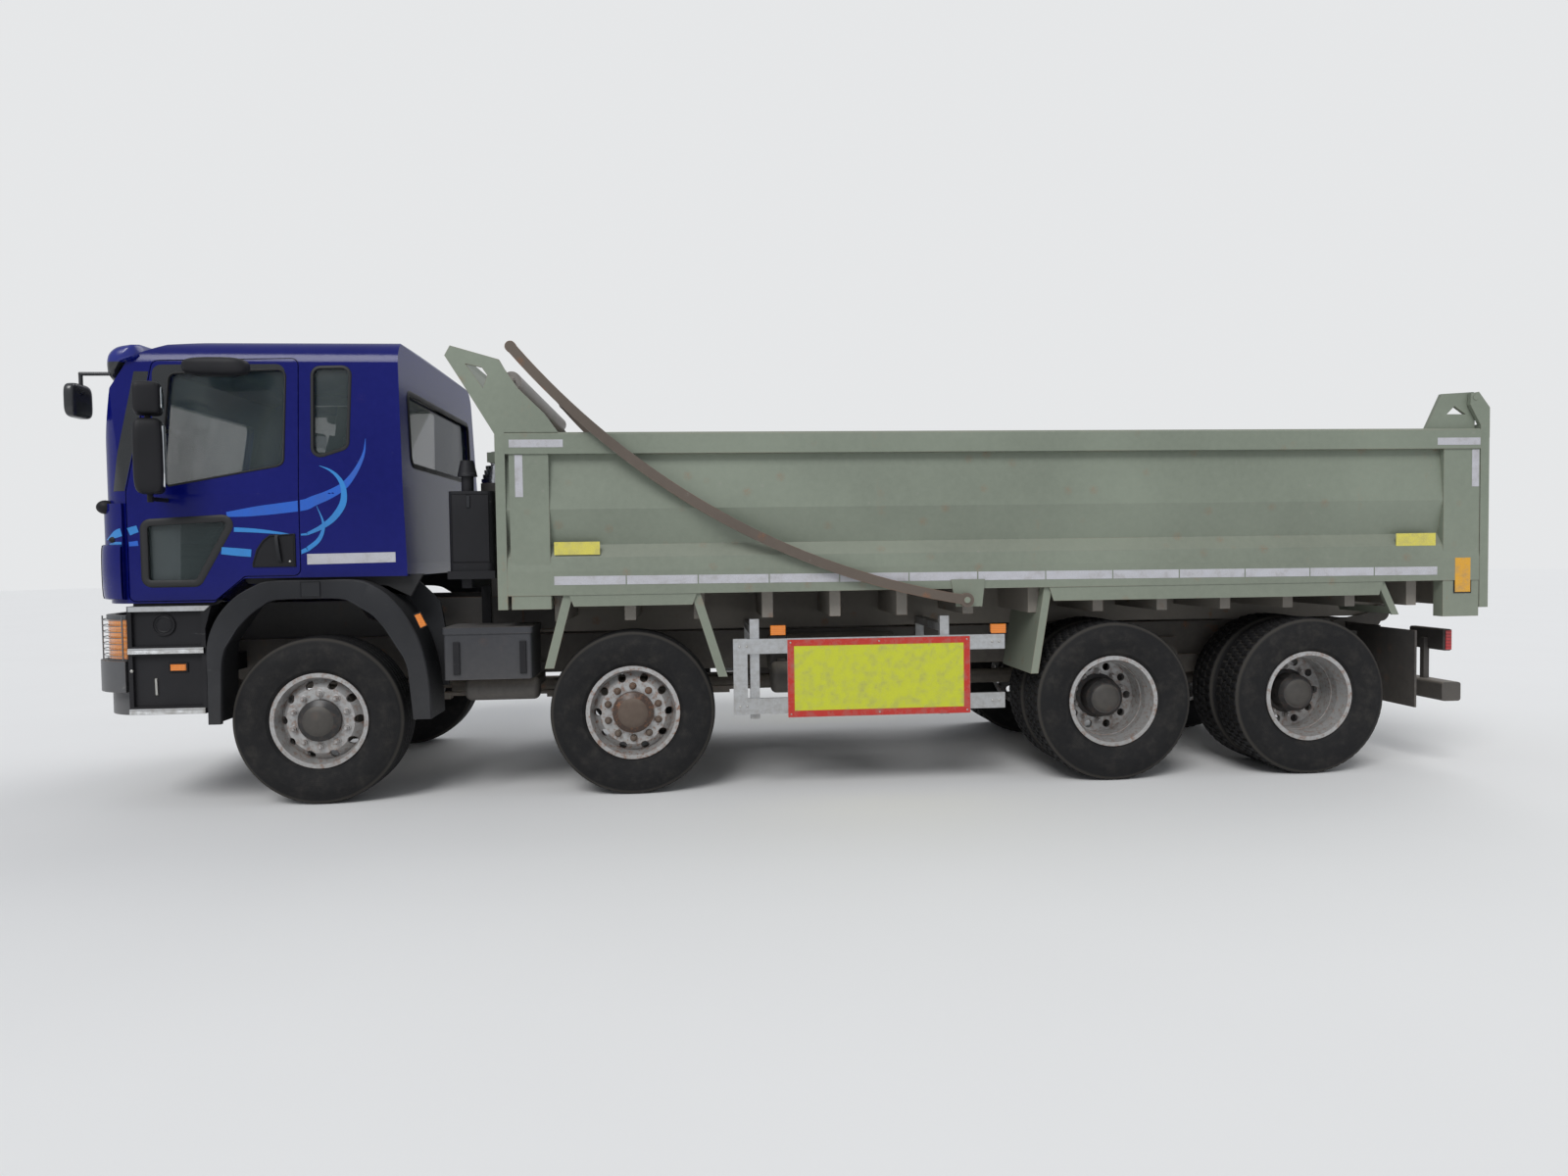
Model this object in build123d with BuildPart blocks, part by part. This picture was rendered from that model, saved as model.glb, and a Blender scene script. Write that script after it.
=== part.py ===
"""Four-axle rigid dump truck: day cab, tipping body, telescopic front ram and swinging sheet bow.

Millimetres. The nose points along -X, the photographed side is at -Y and +Z is up. The origin is on
the ground, midway along and across the truck. Places along the truck are worked out from axle 1.
"""
from build123d import *
from math import cos, radians, sin
import os

os.makedirs("parts", exist_ok=True)

# Overall places: how far the truck reaches ahead of and behind axle 1
front_reach = 1480
rear_reach = 7680
axle_1_x = (front_reach - rear_reach) / 2
axle_2_x = axle_1_x + 1940
axle_3_x = axle_1_x + 5083
axle_4_x = axle_3_x + 1350

# Wheels
tyre_radius = 525
tyre_width = 304
tread_width = 240
rim_radius = 286
flange_radius = 299
rim_width = 236
front_track_half = 1030
twin_outer_y = 1085
twin_inner_y = 735
axle_z = tyre_radius
running_gap = 5
pin_gap = 0.3
seat_gap = 0.3
spindle_radius = 55

# Steering
kingpin_y = 880
kingpin_radius = 22
knuckle_height = 280
beam_eye_height = 140
beam_eye_radius = 58
drum_radius = 205

# Chassis frame
rail_outer_y = 430
rail_width = 70
rail_top_z = 985
rail_depth = 270
rail_wall = 10
frame_front_x = axle_1_x - 1180
frame_rear_x = axle_1_x + 7330

# Cab
cab_half_width = 1140
cab_wall = 55
cab_front_x = axle_1_x - 1370
cab_rear_x = axle_1_x + 555
cab_low_z = 1275
cab_arch_z = 1420
belt_z = 1940
eaves_z = 2760
tumblehome = 62
roof_z = 2950
glass_thickness = 8
cab_pivot_x = axle_1_x - 1200
cab_pivot_z = 870
door_gap = 6

# Tipping body
body_front_x = axle_1_x + 1127
body_rear_x = axle_1_x + 7605
body_half_width = 1250
side_inner_y = 1130
floor_z = 1285
floor_thickness = 15
body_rail_low_z = 2166
body_top_z = 2300
post_face_y = 1240
headboard_thickness = 60
tip_hinge_x = axle_1_x + 7450
tip_hinge_z = 1020

# Tailgate
gate_front_x = body_rear_x + 10
gate_thickness = 62
gate_low_z = 1100
gate_pin_x = axle_1_x + 7576
gate_pin_z = 2508

# Telescopic ram
ram_x = axle_1_x + 900
ram_base_z = 750
ram_eye_z = 2250
ram_stage_count = 4
cover_radius = 106
trunnion_radius = 32
ram_side = 160
ram_ear_y = 80

# Sheet bow
bow_inner_y = body_half_width + 12
bow_width = 40
bow_depth = 62
bow_pivot_x = axle_1_x + 4081
bow_pivot_z = 1214


def side_plane(y):
    """The upright lengthwise plane at a given Y; its normal points towards -Y."""
    return Plane.XZ.offset(-y)


def cross_plane(x):
    """The upright crosswise plane at a given X; its local axes are Y and Z."""
    return Plane.YZ.offset(x)


def level_plane(z):
    """The level plane at a given height."""
    return Plane.XY.offset(z)


def from_axle(*points):
    """Side-view points given as (distance behind axle 1, height)."""
    return [(axle_1_x + behind, height) for behind, height in points]


def keep(part, label):
    """Names a finished sub-part and writes it."""
    part.label = label
    export_step(part, f"parts/{label}.step")


# Chassis frame: two channel rails, cross-members, body hinge brackets, ram cradle and cab pivots
crossmember_xs = [axle_1_x + behind for behind in (-1130, 640, 1250, 2700, 3900, 5760, 7220)]
hinge_cheek_inner_y = 435
hinge_cheek_thickness = 30
hinge_pin_radius = 30
hinge_boss_radius = 62
cab_bracket_y = 440
cab_bracket_thickness = 25
tow_x = crossmember_xs[-1] + 140
tow_z = rail_top_z - rail_depth / 2
tow_pin_radius = 20
with BuildPart() as chassis_frame:
    with BuildSketch(cross_plane(frame_front_x)):
        with Locations((rail_outer_y - rail_width / 2, rail_top_z - rail_depth / 2)):
            Rectangle(rail_width, rail_depth)
        with Locations((rail_outer_y - rail_width / 2 - rail_wall, rail_top_z - rail_depth / 2)):
            Rectangle(rail_width, rail_depth - 2 * rail_wall, mode=Mode.SUBTRACT)
    extrude(amount=frame_rear_x - frame_front_x)
    mirror(about=Plane.XZ)
    for x in crossmember_xs:
        with BuildSketch(cross_plane(x)):
            with Locations((0, rail_top_z - rail_depth / 2)):
                Rectangle(2 * (rail_outer_y - rail_wall), rail_depth - 2 * rail_wall)
                Rectangle(2 * (rail_outer_y - rail_width), rail_depth - 90, mode=Mode.SUBTRACT)
        extrude(amount=60)
    with BuildSketch(side_plane(-hinge_cheek_inner_y)):
        Polygon((frame_rear_x - 260, rail_top_z - 20), (tip_hinge_x, tip_hinge_z + 20),
                (tip_hinge_x, tip_hinge_z - 60), (frame_rear_x - 40, rail_top_z - rail_depth),
                (frame_rear_x - 260, rail_top_z - rail_depth), align=None)
        with Locations((tip_hinge_x, tip_hinge_z)):
            Circle(hinge_boss_radius)
    extrude(amount=hinge_cheek_thickness)
    with BuildSketch(side_plane(-(hinge_cheek_inner_y - 10))):
        with Locations((frame_rear_x - 150, rail_top_z - rail_depth / 2)):
            Rectangle(180, rail_depth - 60)
    extrude(amount=15)
    mirror(about=Plane.XZ)
    with BuildSketch(side_plane(hinge_cheek_inner_y + hinge_cheek_thickness)):
        with Locations((tip_hinge_x, tip_hinge_z)):
            Circle(hinge_pin_radius)
    extrude(amount=2 * (hinge_cheek_inner_y + hinge_cheek_thickness))
    with BuildSketch(side_plane(-cab_bracket_y)):
        Polygon((frame_front_x - 60, rail_top_z - rail_depth), (frame_front_x + 200, rail_top_z - rail_depth),
                (frame_front_x + 200, rail_top_z - 10), (cab_pivot_x + 45, cab_pivot_z + 40),
                (cab_pivot_x - 45, cab_pivot_z + 40), align=None)
    extrude(amount=cab_bracket_thickness)
    with BuildSketch(side_plane(-(rail_outer_y - rail_wall))):
        with Locations((frame_front_x + 60, rail_top_z - rail_depth / 2)):
            Rectangle(120, rail_depth - 40)
    extrude(amount=cab_bracket_y - rail_outer_y + rail_wall)
    with BuildSketch(side_plane(-cab_bracket_y)):
        with Locations((cab_pivot_x, cab_pivot_z)):
            Circle(20)
    extrude(amount=cab_bracket_thickness + 50)
    mirror(about=Plane.XZ)
    # Tow jaw on the last cross-member: two lips with an upright pin hole
    for low in (tow_z - 75, tow_z + 45):
        with BuildSketch(level_plane(low)):
            with Locations((tow_x - 60, 0)):
                Rectangle(200, 150)
            with Locations((tow_x, 0)):
                Circle(tow_pin_radius, mode=Mode.SUBTRACT)
        extrude(amount=30)
    with BuildSketch(cross_plane(tow_x - 165)):
        with Locations((0, tow_z)):
            Rectangle(220, 190)
    extrude(amount=40)
    # Ram cradle: a bearing block each side of the ram on a beam to the rail
    with BuildSketch(side_plane(-(cover_radius + 12))):
        with Locations((ram_x, ram_base_z + 30)):
            Rectangle(150, 200)
        with Locations((ram_x, ram_base_z)):
            Circle(trunnion_radius + pin_gap, mode=Mode.SUBTRACT)
    extrude(amount=ram_side + 3 - cover_radius - 12)
    with BuildSketch(side_plane(-(ram_side + 3))):
        with Locations((ram_x, ram_base_z + 60)):
            Rectangle(120, 140)
    extrude(amount=rail_outer_y - rail_wall - ram_side - 3)
    mirror(about=Plane.XZ)
keep(chassis_frame.part, "chassis_frame")

# Engine and gearbox: one plain block under the cab floor
engine_front_x = axle_1_x - 1020
engine_half_width = 330
engine_low_z = 560
engine_top_z = 1235
gearbox_rear_x = axle_1_x + 560
with BuildPart() as engine_block:
    with BuildSketch(side_plane(engine_half_width)):
        Polygon((engine_front_x, engine_low_z + 60), (engine_front_x + 100, engine_low_z + 60),
                (engine_front_x + 140, engine_low_z + 40), (axle_1_x - 120, engine_low_z + 130),
                (axle_1_x + 110, engine_low_z + 130), (gearbox_rear_x, engine_low_z + 130),
                (gearbox_rear_x, engine_low_z + 360), (axle_1_x + 60, engine_top_z - 120),
                (axle_1_x - 20, engine_top_z), (engine_front_x, engine_top_z), align=None)
    extrude(amount=2 * engine_half_width)
    for x in (axle_1_x - 700, axle_1_x + 60):
        with BuildSketch(side_plane(rail_outer_y - rail_wall - 0.3)):
            with Locations((x, rail_top_z - 120)):
                Rectangle(110, 90)
        extrude(amount=2 * (rail_outer_y - rail_wall - 0.3))
keep(engine_block.part, "engine_block")

# Steered axles: dropped beams with an eye for each kingpin, leaf springs and U-bolts
beam_drop_z = axle_z - 105
spring_y = 405
spring_width = 80
spring_leaves = [(820, 22), (640, 22), (460, 22), (300, 22)]
with BuildPart() as front_suspension:
    for x in (axle_1_x, axle_2_x):
        with BuildSketch(cross_plane(x - 45)):
            Polygon((0, beam_drop_z - 55), (spring_y + 60, beam_drop_z - 55), (kingpin_y - 40, axle_z - 60),
                    (kingpin_y, axle_z - 60), (kingpin_y, axle_z + 60), (kingpin_y - 60, axle_z + 60),
                    (spring_y + 60, beam_drop_z + 55), (0, beam_drop_z + 55), align=None)
        extrude(amount=90)
        with BuildSketch(level_plane(axle_z - beam_eye_height / 2)):
            with Locations((x, kingpin_y)):
                Circle(beam_eye_radius)
        extrude(amount=beam_eye_height)
        with BuildSketch(level_plane(beam_drop_z)):
            with Locations((x, spring_y)):
                Rectangle(150, spring_width + 50)
        extrude(amount=80)
        leaf_z = beam_drop_z + 80
        for half_length, thickness in reversed(spring_leaves):
            with BuildSketch(side_plane(spring_y + spring_width / 2)):
                with Locations((x, leaf_z + thickness / 2)):
                    Rectangle(2 * half_length, thickness)
            extrude(amount=spring_width)
            leaf_z += thickness
        for end in (-1, 1):
            eye_x = x + end * spring_leaves[0][0]
            hanger_top_z = rail_top_z - rail_depth - 0.3
            with BuildSketch(side_plane(spring_y + spring_width / 2)):
                with Locations((eye_x, leaf_z - 11)):
                    Circle(38)
                with Locations((eye_x, (leaf_z - 11 + hanger_top_z) / 2)):
                    Rectangle(60, hanger_top_z - leaf_z + 11)
            extrude(amount=spring_width)
        with BuildSketch(level_plane(beam_drop_z + 40)):
            for side in (-1, 1):
                for end in (-1, 1):
                    with Locations((x + end * 55, spring_y + side * (spring_width / 2 + 11))):
                        Circle(11)
        extrude(amount=leaf_z - beam_drop_z)
    with BuildSketch(level_plane(axle_z - beam_eye_height)):
        for x in (axle_1_x, axle_2_x):
            with Locations((x, kingpin_y)):
                Circle(kingpin_radius + pin_gap)
    extrude(amount=2 * beam_eye_height, mode=Mode.SUBTRACT)
    mirror(about=Plane.XZ)
keep(front_suspension.part, "front_suspension")

# Driven bogie: two axle housings with their differentials, trunnion springs and propeller shafts
housing_radius = 75
housing_end_y = 560
differential_radius = 215
bogie_x = (axle_3_x + axle_4_x) / 2
bogie_spring_y = 480
bogie_spring_leaves = [(640, 26), (560, 26), (470, 26), (380, 26), (290, 26)]
shaft_radius = 55
twin_middle_y = (twin_outer_y + twin_inner_y) / 2
hub_bore_depth = 60
with BuildPart() as rear_suspension:
    for x in (axle_3_x, axle_4_x):
        for end_y, radius in ((housing_end_y, housing_radius), (twin_middle_y + hub_bore_depth - seat_gap, spindle_radius)):
            with BuildSketch(side_plane(end_y)):
                with Locations((x, axle_z)):
                    Circle(radius)
            extrude(amount=2 * end_y)
        with BuildSketch(level_plane(axle_z)):
            with BuildLine():
                Line((x - differential_radius, 0), (x + differential_radius, 0))
                ThreePointArc((x + differential_radius, 0), (x, 150), (x - differential_radius, 0))
            make_face()
        revolve(axis=Axis((x, 0, axle_z), (1, 0, 0)), revolution_arc=360)
    with BuildSketch(side_plane(-(bogie_spring_y - 45))):
        with Locations((bogie_x, axle_z + 210)):
            Circle(95)
        leaf_z = axle_z + housing_radius + 20
        for half_length, thickness in bogie_spring_leaves:
            with Locations((bogie_x, leaf_z + thickness / 2)):
                Rectangle(2 * half_length, thickness)
            leaf_z += thickness
        for x in (axle_3_x, axle_4_x):
            with Locations((x, axle_z + housing_radius)):
                Rectangle(150, 60)
    extrude(amount=90)
    with BuildSketch(side_plane(-(rail_outer_y + 0.3))):
        with Locations((bogie_x, axle_z + 260)):
            Rectangle(200, 180)
    extrude(amount=45)
    mirror(about=Plane.XZ)
    with BuildSketch(cross_plane(axle_3_x)):
        with Locations((0, axle_z)):
            Circle(shaft_radius)
    extrude(amount=axle_4_x - axle_3_x)
    with BuildSketch(cross_plane(gearbox_rear_x + 0.3)):
        with Locations((0, axle_z + 40)):
            Circle(shaft_radius)
    extrude(amount=axle_3_x - gearbox_rear_x - 140)
keep(rear_suspension.part, "rear_suspension")


def plan_outline(inset):
    """Half the cab's outline from above, rounded at its front corners, brought in by a distance."""
    front = cab_front_x + inset
    side = cab_half_width - inset
    corner = 330 - inset
    with BuildSketch() as outline:
        with BuildLine():
            Line((cab_rear_x - inset, 0), (cab_rear_x - inset, side))
            Line((cab_rear_x - inset, side), (front + corner - 60, side))
            shoulder = (front + 50, side - corner + 70)
            middle = (front + 50 + 0.24 * corner, side - 0.24 * corner)
            ThreePointArc((front + corner - 60, side), middle, shoulder)
            ThreePointArc(shoulder, (front + 13, shoulder[1] / 2), (front, 0))
            Line((front, 0), (cab_rear_x - inset, 0))
        make_face()
        mirror(about=Plane.XZ)
    return outline.sketch


# Cab side profile, from the first axle: (distance behind axle 1, height)
cab_profile = from_axle((-1370, cab_low_z), (-1370, 1900), (-1205, 2600), (-1085, 2800), (-900, 2880),
                        (-300, 2935), (440, roof_z), (510, 2890), (555, 1500), (555, cab_arch_z),
                        (-430, cab_arch_z), (-610, cab_low_z))


def cab_volume(inset):
    """The cab's solid envelope: its side, plan and front outlines crossed, brought in by a distance."""
    with BuildPart() as volume:
        with BuildSketch(side_plane(cab_half_width)):
            Polygon(*cab_profile, align=None)
            if inset:
                offset(amount=-inset, kind=Kind.INTERSECTION, mode=Mode.REPLACE)
        extrude(amount=2 * cab_half_width)
        with BuildSketch(level_plane(cab_low_z - 100)):
            add(plan_outline(inset))
        extrude(amount=roof_z - cab_low_z + 200, mode=Mode.INTERSECT)
        with BuildSketch(cross_plane(cab_front_x - 100)):
            side = cab_half_width - inset
            with BuildLine():
                Polyline((0, cab_low_z), (side, cab_low_z), (side, belt_z), (side - tumblehome, eaves_z))
                ThreePointArc((side - tumblehome, eaves_z), (side - 118, 2860 - inset / 2), (side - 240, 2905 - inset))
                ThreePointArc((side - 240, 2905 - inset), (450, 2938 - inset), (0, roof_z - inset))
                Line((0, roof_z - inset), (0, cab_low_z))
            make_face()
            mirror(about=Plane.YZ)
        extrude(amount=cab_rear_x - cab_front_x + 200, mode=Mode.INTERSECT)
    return volume.part


cab_outer = cab_volume(0)
cab_inner = cab_volume(cab_wall)
glass_inner = cab_volume(24 + glass_thickness)
glass_outer = cab_volume(24)

# Openings of the cab's sides, from the first axle
door_outline = from_axle((-1105, cab_low_z + 15), (-1105, 1960), (-955, 2765), (-92, 2780), (-92, 1435),
                         (-425, 1435), (-600, cab_low_z + 15))
door_window = from_axle((-905, 1985), (-860, 2690), (-165, 2715), (-178, 2120))
low_window = from_axle((-1010, 1395), (-1010, 1768), (-475, 1795), (-700, 1395))
quarter_window = from_axle((-5, 2155), (-5, 2725), (225, 2730), (208, 2225))
windscreen_window = [(-1010, 1965), (-905, 2585), (905, 2585), (1010, 1965)]
rear_window = [(-900, 2130), (-900, 2600), (900, 2600), (900, 2130)]


def side_cutter(outline, radius, grow=0.0):
    """A through-going bar in the outline's shape, to take one side's opening out of the cab."""
    with BuildPart() as cutter:
        with BuildSketch(side_plane(-(cab_half_width - 260))):
            Polygon(*outline, align=None)
            fillet(vertices(), radius)
            if grow:
                offset(amount=grow, mode=Mode.REPLACE)
        extrude(amount=400)
    return cutter.part


def cross_cutter(outline, radius, x, depth, grow=0.0):
    """A lengthwise bar in the outline's shape, to take a window out of the front or rear wall."""
    with BuildPart() as cutter:
        with BuildSketch(cross_plane(x)):
            Polygon(*outline, align=None)
            fillet(vertices(), radius)
            if grow:
                offset(amount=grow, mode=Mode.REPLACE)
        extrude(amount=depth)
    return cutter.part




def door_bar(grow):
    """The door's opening as a bar that stops at the wall's inner face below the belt."""
    with BuildPart() as bar:
        add(side_cutter(door_outline, 40, grow))
        with BuildSketch(side_plane(-(cab_half_width - cab_wall - 3))):
            with Locations((axle_1_x - 500, belt_z - 500)):
                Rectangle(2000, 1000)
        extrude(amount=-400, mode=Mode.SUBTRACT)
    return bar.part


door_cut = door_bar(door_gap)
door_keep = door_bar(0)
door_window_cut = side_cutter(door_window, 45)
low_window_cut = side_cutter(low_window, 40)
quarter_cut = side_cutter(quarter_window, 50)
far_door_cut = door_cut.mirror(Plane.XZ)
far_quarter_cut = quarter_cut.mirror(Plane.XZ)
windscreen_cut = cross_cutter(windscreen_window, 70, cab_front_x - 100, 700)
rear_window_cut = cross_cutter(rear_window, 60, cab_rear_x - 250, 350)

# Cab shell: roof, floor, rear wall and side pillars, with doors, windscreen and windows cut
cab_arm_y = cab_bracket_y + cab_bracket_thickness + running_gap
with BuildPart() as cab_shell:
    add(cab_outer)
    add(cab_inner, mode=Mode.SUBTRACT)
    for cutter in (door_cut, far_door_cut, quarter_cut, far_quarter_cut):
        add(cutter, mode=Mode.SUBTRACT)
    add(windscreen_cut, mode=Mode.SUBTRACT)
    add(rear_window_cut, mode=Mode.SUBTRACT)
    with BuildSketch(side_plane(-cab_arm_y)):
        Polygon((cab_pivot_x - 45, cab_low_z + 20), (cab_pivot_x + 130, cab_low_z + 20),
                (cab_pivot_x + 40, cab_pivot_z), (cab_pivot_x - 40, cab_pivot_z), align=None)
        with Locations((cab_pivot_x, cab_pivot_z)):
            Circle(40)
    extrude(amount=30)
    with BuildSketch(side_plane(-cab_arm_y)):
        with Locations((cab_pivot_x, cab_pivot_z)):
            Circle(20 + pin_gap)
    extrude(amount=30, mode=Mode.SUBTRACT)
    with BuildSketch(side_plane(-cab_arm_y)):
        with Locations((cab_pivot_x, cab_pivot_z)):
            Circle(40)
            Circle(20 + pin_gap, mode=Mode.SUBTRACT)
    extrude(amount=30)
    mirror(about=Plane.XZ)
keep(cab_shell.part, "cab_shell")

# Fixed glass: windscreen, quarter windows and rear window, set into the walls
with BuildPart() as window_bars:
    add(windscreen_cut)
    add(rear_window_cut)
    add(quarter_cut)
    add(far_quarter_cut)
with BuildPart() as cab_glass:
    add(glass_outer)
    add(glass_inner, mode=Mode.SUBTRACT)
    add(window_bars.part, mode=Mode.INTERSECT)
keep(cab_glass.part, "cab_glass")

# Doors: the wall's own curve between the gaps, with the main and the low window cut
with BuildPart() as near_door:
    add(cab_outer)
    add(cab_inner, mode=Mode.SUBTRACT)
    add(door_keep, mode=Mode.INTERSECT)
    add(door_window_cut, mode=Mode.SUBTRACT)
    add(low_window_cut, mode=Mode.SUBTRACT)
with BuildPart() as door_window_bars:
    add(door_window_cut)
    add(low_window_cut)
with BuildPart() as near_door_glass:
    add(glass_outer)
    add(glass_inner, mode=Mode.SUBTRACT)
    add(door_window_bars.part, mode=Mode.INTERSECT)

# Door mirrors: main and wide-angle heads on one post, and the kerb mirror over the door window
mirror_post_x = axle_1_x - 905
mirror_y = cab_half_width + 205
mirror_foot_z = 1905
mirror_heads = [(2140, 400, 195, 95), (2495, 190, 190, 95)]


def cab_side_y(z):
    """How far the cab's side stands from the centre plane at a height."""
    return cab_half_width - tumblehome * max(0, z - belt_z) / (eaves_z - belt_z)


mirror_arms = [(mirror_foot_z, cab_side_y(mirror_foot_z) + 0.3), (2330, cab_side_y(2317) + 0.3)]
kerb_mirror_z = 2735
with BuildPart() as near_door_mirrors:
    with BuildSketch(level_plane(mirror_foot_z - 20)):
        with Locations((mirror_post_x, -mirror_y)):
            Circle(17)
    extrude(amount=690)
    for arm_z, root_y in mirror_arms:
        with BuildSketch(side_plane(-root_y)):
            with Locations((mirror_post_x, arm_z)):
                Circle(13)
        extrude(amount=mirror_y - root_y)
    for centre_z, height, width, depth in mirror_heads:
        with BuildSketch(level_plane(centre_z - height / 2)):
            with Locations((mirror_post_x + 5, -mirror_y - 20)):
                RectangleRounded(depth, width, 40)
        extrude(amount=height)
    with BuildSketch(side_plane(-(cab_half_width + 25))):
        with Locations((axle_1_x - 590, kerb_mirror_z)):
            RectangleRounded(330, 90, 44)
    extrude(amount=150)
    with BuildSketch(side_plane(-(cab_side_y(kerb_mirror_z - 18) + 0.3))):
        with Locations((axle_1_x - 590, kerb_mirror_z)):
            Rectangle(60, 36)
    extrude(amount=100)
for side, label in ((-1, "near"), (1, "far")):
    for piece, name in ((near_door, "door"), (near_door_glass, "door_glass"), (near_door_mirrors, "door_mirrors")):
        solid = piece.part if side < 0 else piece.part.mirror(Plane.XZ)
        keep(solid, f"{label}_{name}")

# Front panel: the blue nose below the windscreen, with its grille slots, and the corner deflectors
panel_gap = seat_gap
slot_zs = [1420 + 78 * i for i in range(5)]
with BuildPart() as cab_front:
    with BuildSketch(level_plane(cab_low_z + 25)):
        add(plan_outline(-22))
        add(plan_outline(-panel_gap), mode=Mode.SUBTRACT)
    extrude(amount=1890 - cab_low_z - 25)
    with BuildSketch(level_plane(cab_low_z)):
        with Locations((cab_front_x + 240 - 300, 0)):
            Rectangle(600, 3000)
    extrude(amount=700, mode=Mode.INTERSECT)
    with BuildSketch(cross_plane(cab_front_x - 100)):
        for z in slot_zs:
            with Locations((0, z)):
                RectangleRounded(1500, 36, 17)
    extrude(amount=300, mode=Mode.SUBTRACT)
keep(cab_front.part, "cab_front")

# Sun visor over the windscreen, the front mirror on its bent arm, and the wiper spindles' cowl
cab_clear = cab_volume(-seat_gap)
visor_half_width = cab_half_width - 65
with BuildPart() as cab_fittings:
    with BuildSketch(side_plane(visor_half_width)):
        Polygon(*from_axle((-1232, 2640), (-1240, 2800), (-1175, 2868), (-1040, 2880), (-1020, 2780), (-1110, 2770),
                           (-1150, 2740), (-1195, 2640)), align=None)
    extrude(amount=2 * visor_half_width)
    add(cab_clear, mode=Mode.SUBTRACT)
    with BuildSketch(side_plane(-(cab_half_width - 260))):
        with Locations((axle_1_x - front_reach + 38, 2530)):
            RectangleRounded(76, 215, 30)
    extrude(amount=230)
    with BuildSketch(level_plane(2630)):
        with Locations((axle_1_x - 1425, -(cab_half_width - 150))):
            Circle(13)
    extrude(amount=70)
    with BuildSketch(cross_plane(axle_1_x - 1437)):
        with Locations((-(cab_half_width - 150), 2700)):
            Circle(11)
    extrude(amount=225)
keep(cab_fittings.part, "cab_fittings")

# Inside the cab: seats, dashboard and steering wheel (right-hand drive)
seat_x = axle_1_x - 260
cab_floor_z = cab_arch_z + cab_wall
cab_lining = cab_volume(cab_wall + seat_gap)
dash_half_width = cab_half_width - cab_wall - 14
with BuildPart() as dashboard:
    with BuildSketch(side_plane(dash_half_width)):
        Polygon(*from_axle((-1400, cab_low_z), (-1400, 1900), (-1010, 1905), (-880, 1800), (-900, 1640),
                           (-1060, 1560), (-1080, cab_low_z)), align=None)
    extrude(amount=2 * dash_half_width)
    add(cab_lining, mode=Mode.INTERSECT)
with BuildPart() as cab_interior:
    add(dashboard.part)
    for y in (-520, 520):
        with BuildSketch(side_plane(y + 240)):
            Polygon((seat_x - 240, cab_floor_z + 0.3), (seat_x + 230, cab_floor_z + 0.3), (seat_x + 230, 1700),
                    (seat_x + 330, 2330), (seat_x + 240, 2340), (seat_x + 110, 1860), (seat_x - 250, 1850),
                    (seat_x - 270, 1720), align=None)
        extrude(amount=480)
        with BuildSketch(side_plane(y + 140)):
            Polygon((seat_x + 240, 2330), (seat_x + 335, 2330), (seat_x + 350, 2530), (seat_x + 265, 2540),
                    align=None)
        extrude(amount=280)
    wheel_plane = Plane(origin=(axle_1_x - 760, 520, 1900), z_dir=(-sin(radians(35)), 0, cos(radians(35))))
    with BuildSketch(wheel_plane.offset(-12)):
        Circle(225)
        Circle(200, mode=Mode.SUBTRACT)
        Rectangle(60, 410)
        Rectangle(410, 60)
    extrude(amount=24)
    with BuildSketch(wheel_plane.offset(-250)):
        Circle(30)
    extrude(amount=250)
keep(cab_interior.part, "cab_interior")

# Bumper: three steel bands wrapped round the nose, with the lamp band open at its corners
bumper_low_z = 590
bumper_band_z = 735
bumper_top_z = 925
lamp_band_top_z = 1205
bumper_rear_x = axle_1_x - 1100
lamp_inner_y = 860
arm_slot_width = 50


def bumper_ring(low, high, outset, depth, rear_x):
    """A band of the bumper: the plan outline pushed out, hollow behind, cut off at its rear edge."""
    with BuildPart() as ring:
        with BuildSketch(level_plane(low)):
            add(plan_outline(-outset))
            add(plan_outline(depth - outset), mode=Mode.SUBTRACT)
        extrude(amount=high - low)
        with BuildSketch(level_plane(low)):
            with Locations((rear_x - 400, 0)):
                Rectangle(800, 3000)
        extrude(amount=high - low, mode=Mode.INTERSECT)
    return ring.part


bands = [bumper_ring(bumper_low_z, bumper_band_z, 10, 40, bumper_rear_x - 20),
         bumper_ring(bumper_band_z, bumper_top_z, 65, 70, bumper_rear_x - 15),
         bumper_ring(bumper_top_z, lamp_band_top_z, 30, 45, bumper_rear_x - 20)]
with BuildPart() as front_bumper:
    for band in bands:
        add(band)
    with BuildSketch(cross_plane(cab_front_x - 100)):
        for z in (990, 1060, 1130):
            with Locations((0, z)):
                RectangleRounded(1300, 34, 16)
        for y in (-550, 550):
            with Locations((y, 662)):
                RectangleRounded(260, 90, 30)
    extrude(amount=300, mode=Mode.SUBTRACT)
    with BuildSketch(level_plane(bumper_top_z + 12)):
        for side in (-1, 1):
            with Locations((cab_front_x + 150, side * (lamp_inner_y + 300))):
                Rectangle(1000, 600)
    extrude(amount=lamp_band_top_z - bumper_top_z - 40, mode=Mode.SUBTRACT)
    with BuildSketch(cross_plane(cab_front_x - 100)):
        for side in (-1, 1):
            with Locations((side * (cab_arm_y + 15), (bumper_top_z + lamp_band_top_z) / 2 + 5)):
                Rectangle(arm_slot_width, lamp_band_top_z - bumper_top_z)
    extrude(amount=300, mode=Mode.SUBTRACT)
    with BuildSketch(side_plane(-(rail_outer_y - rail_width))):
        with Locations((frame_front_x - 90, 800)):
            Rectangle(179.7, 130)
    extrude(amount=rail_width)
    mirror(about=Plane.XZ)
keep(front_bumper.part, "front_bumper")

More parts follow.
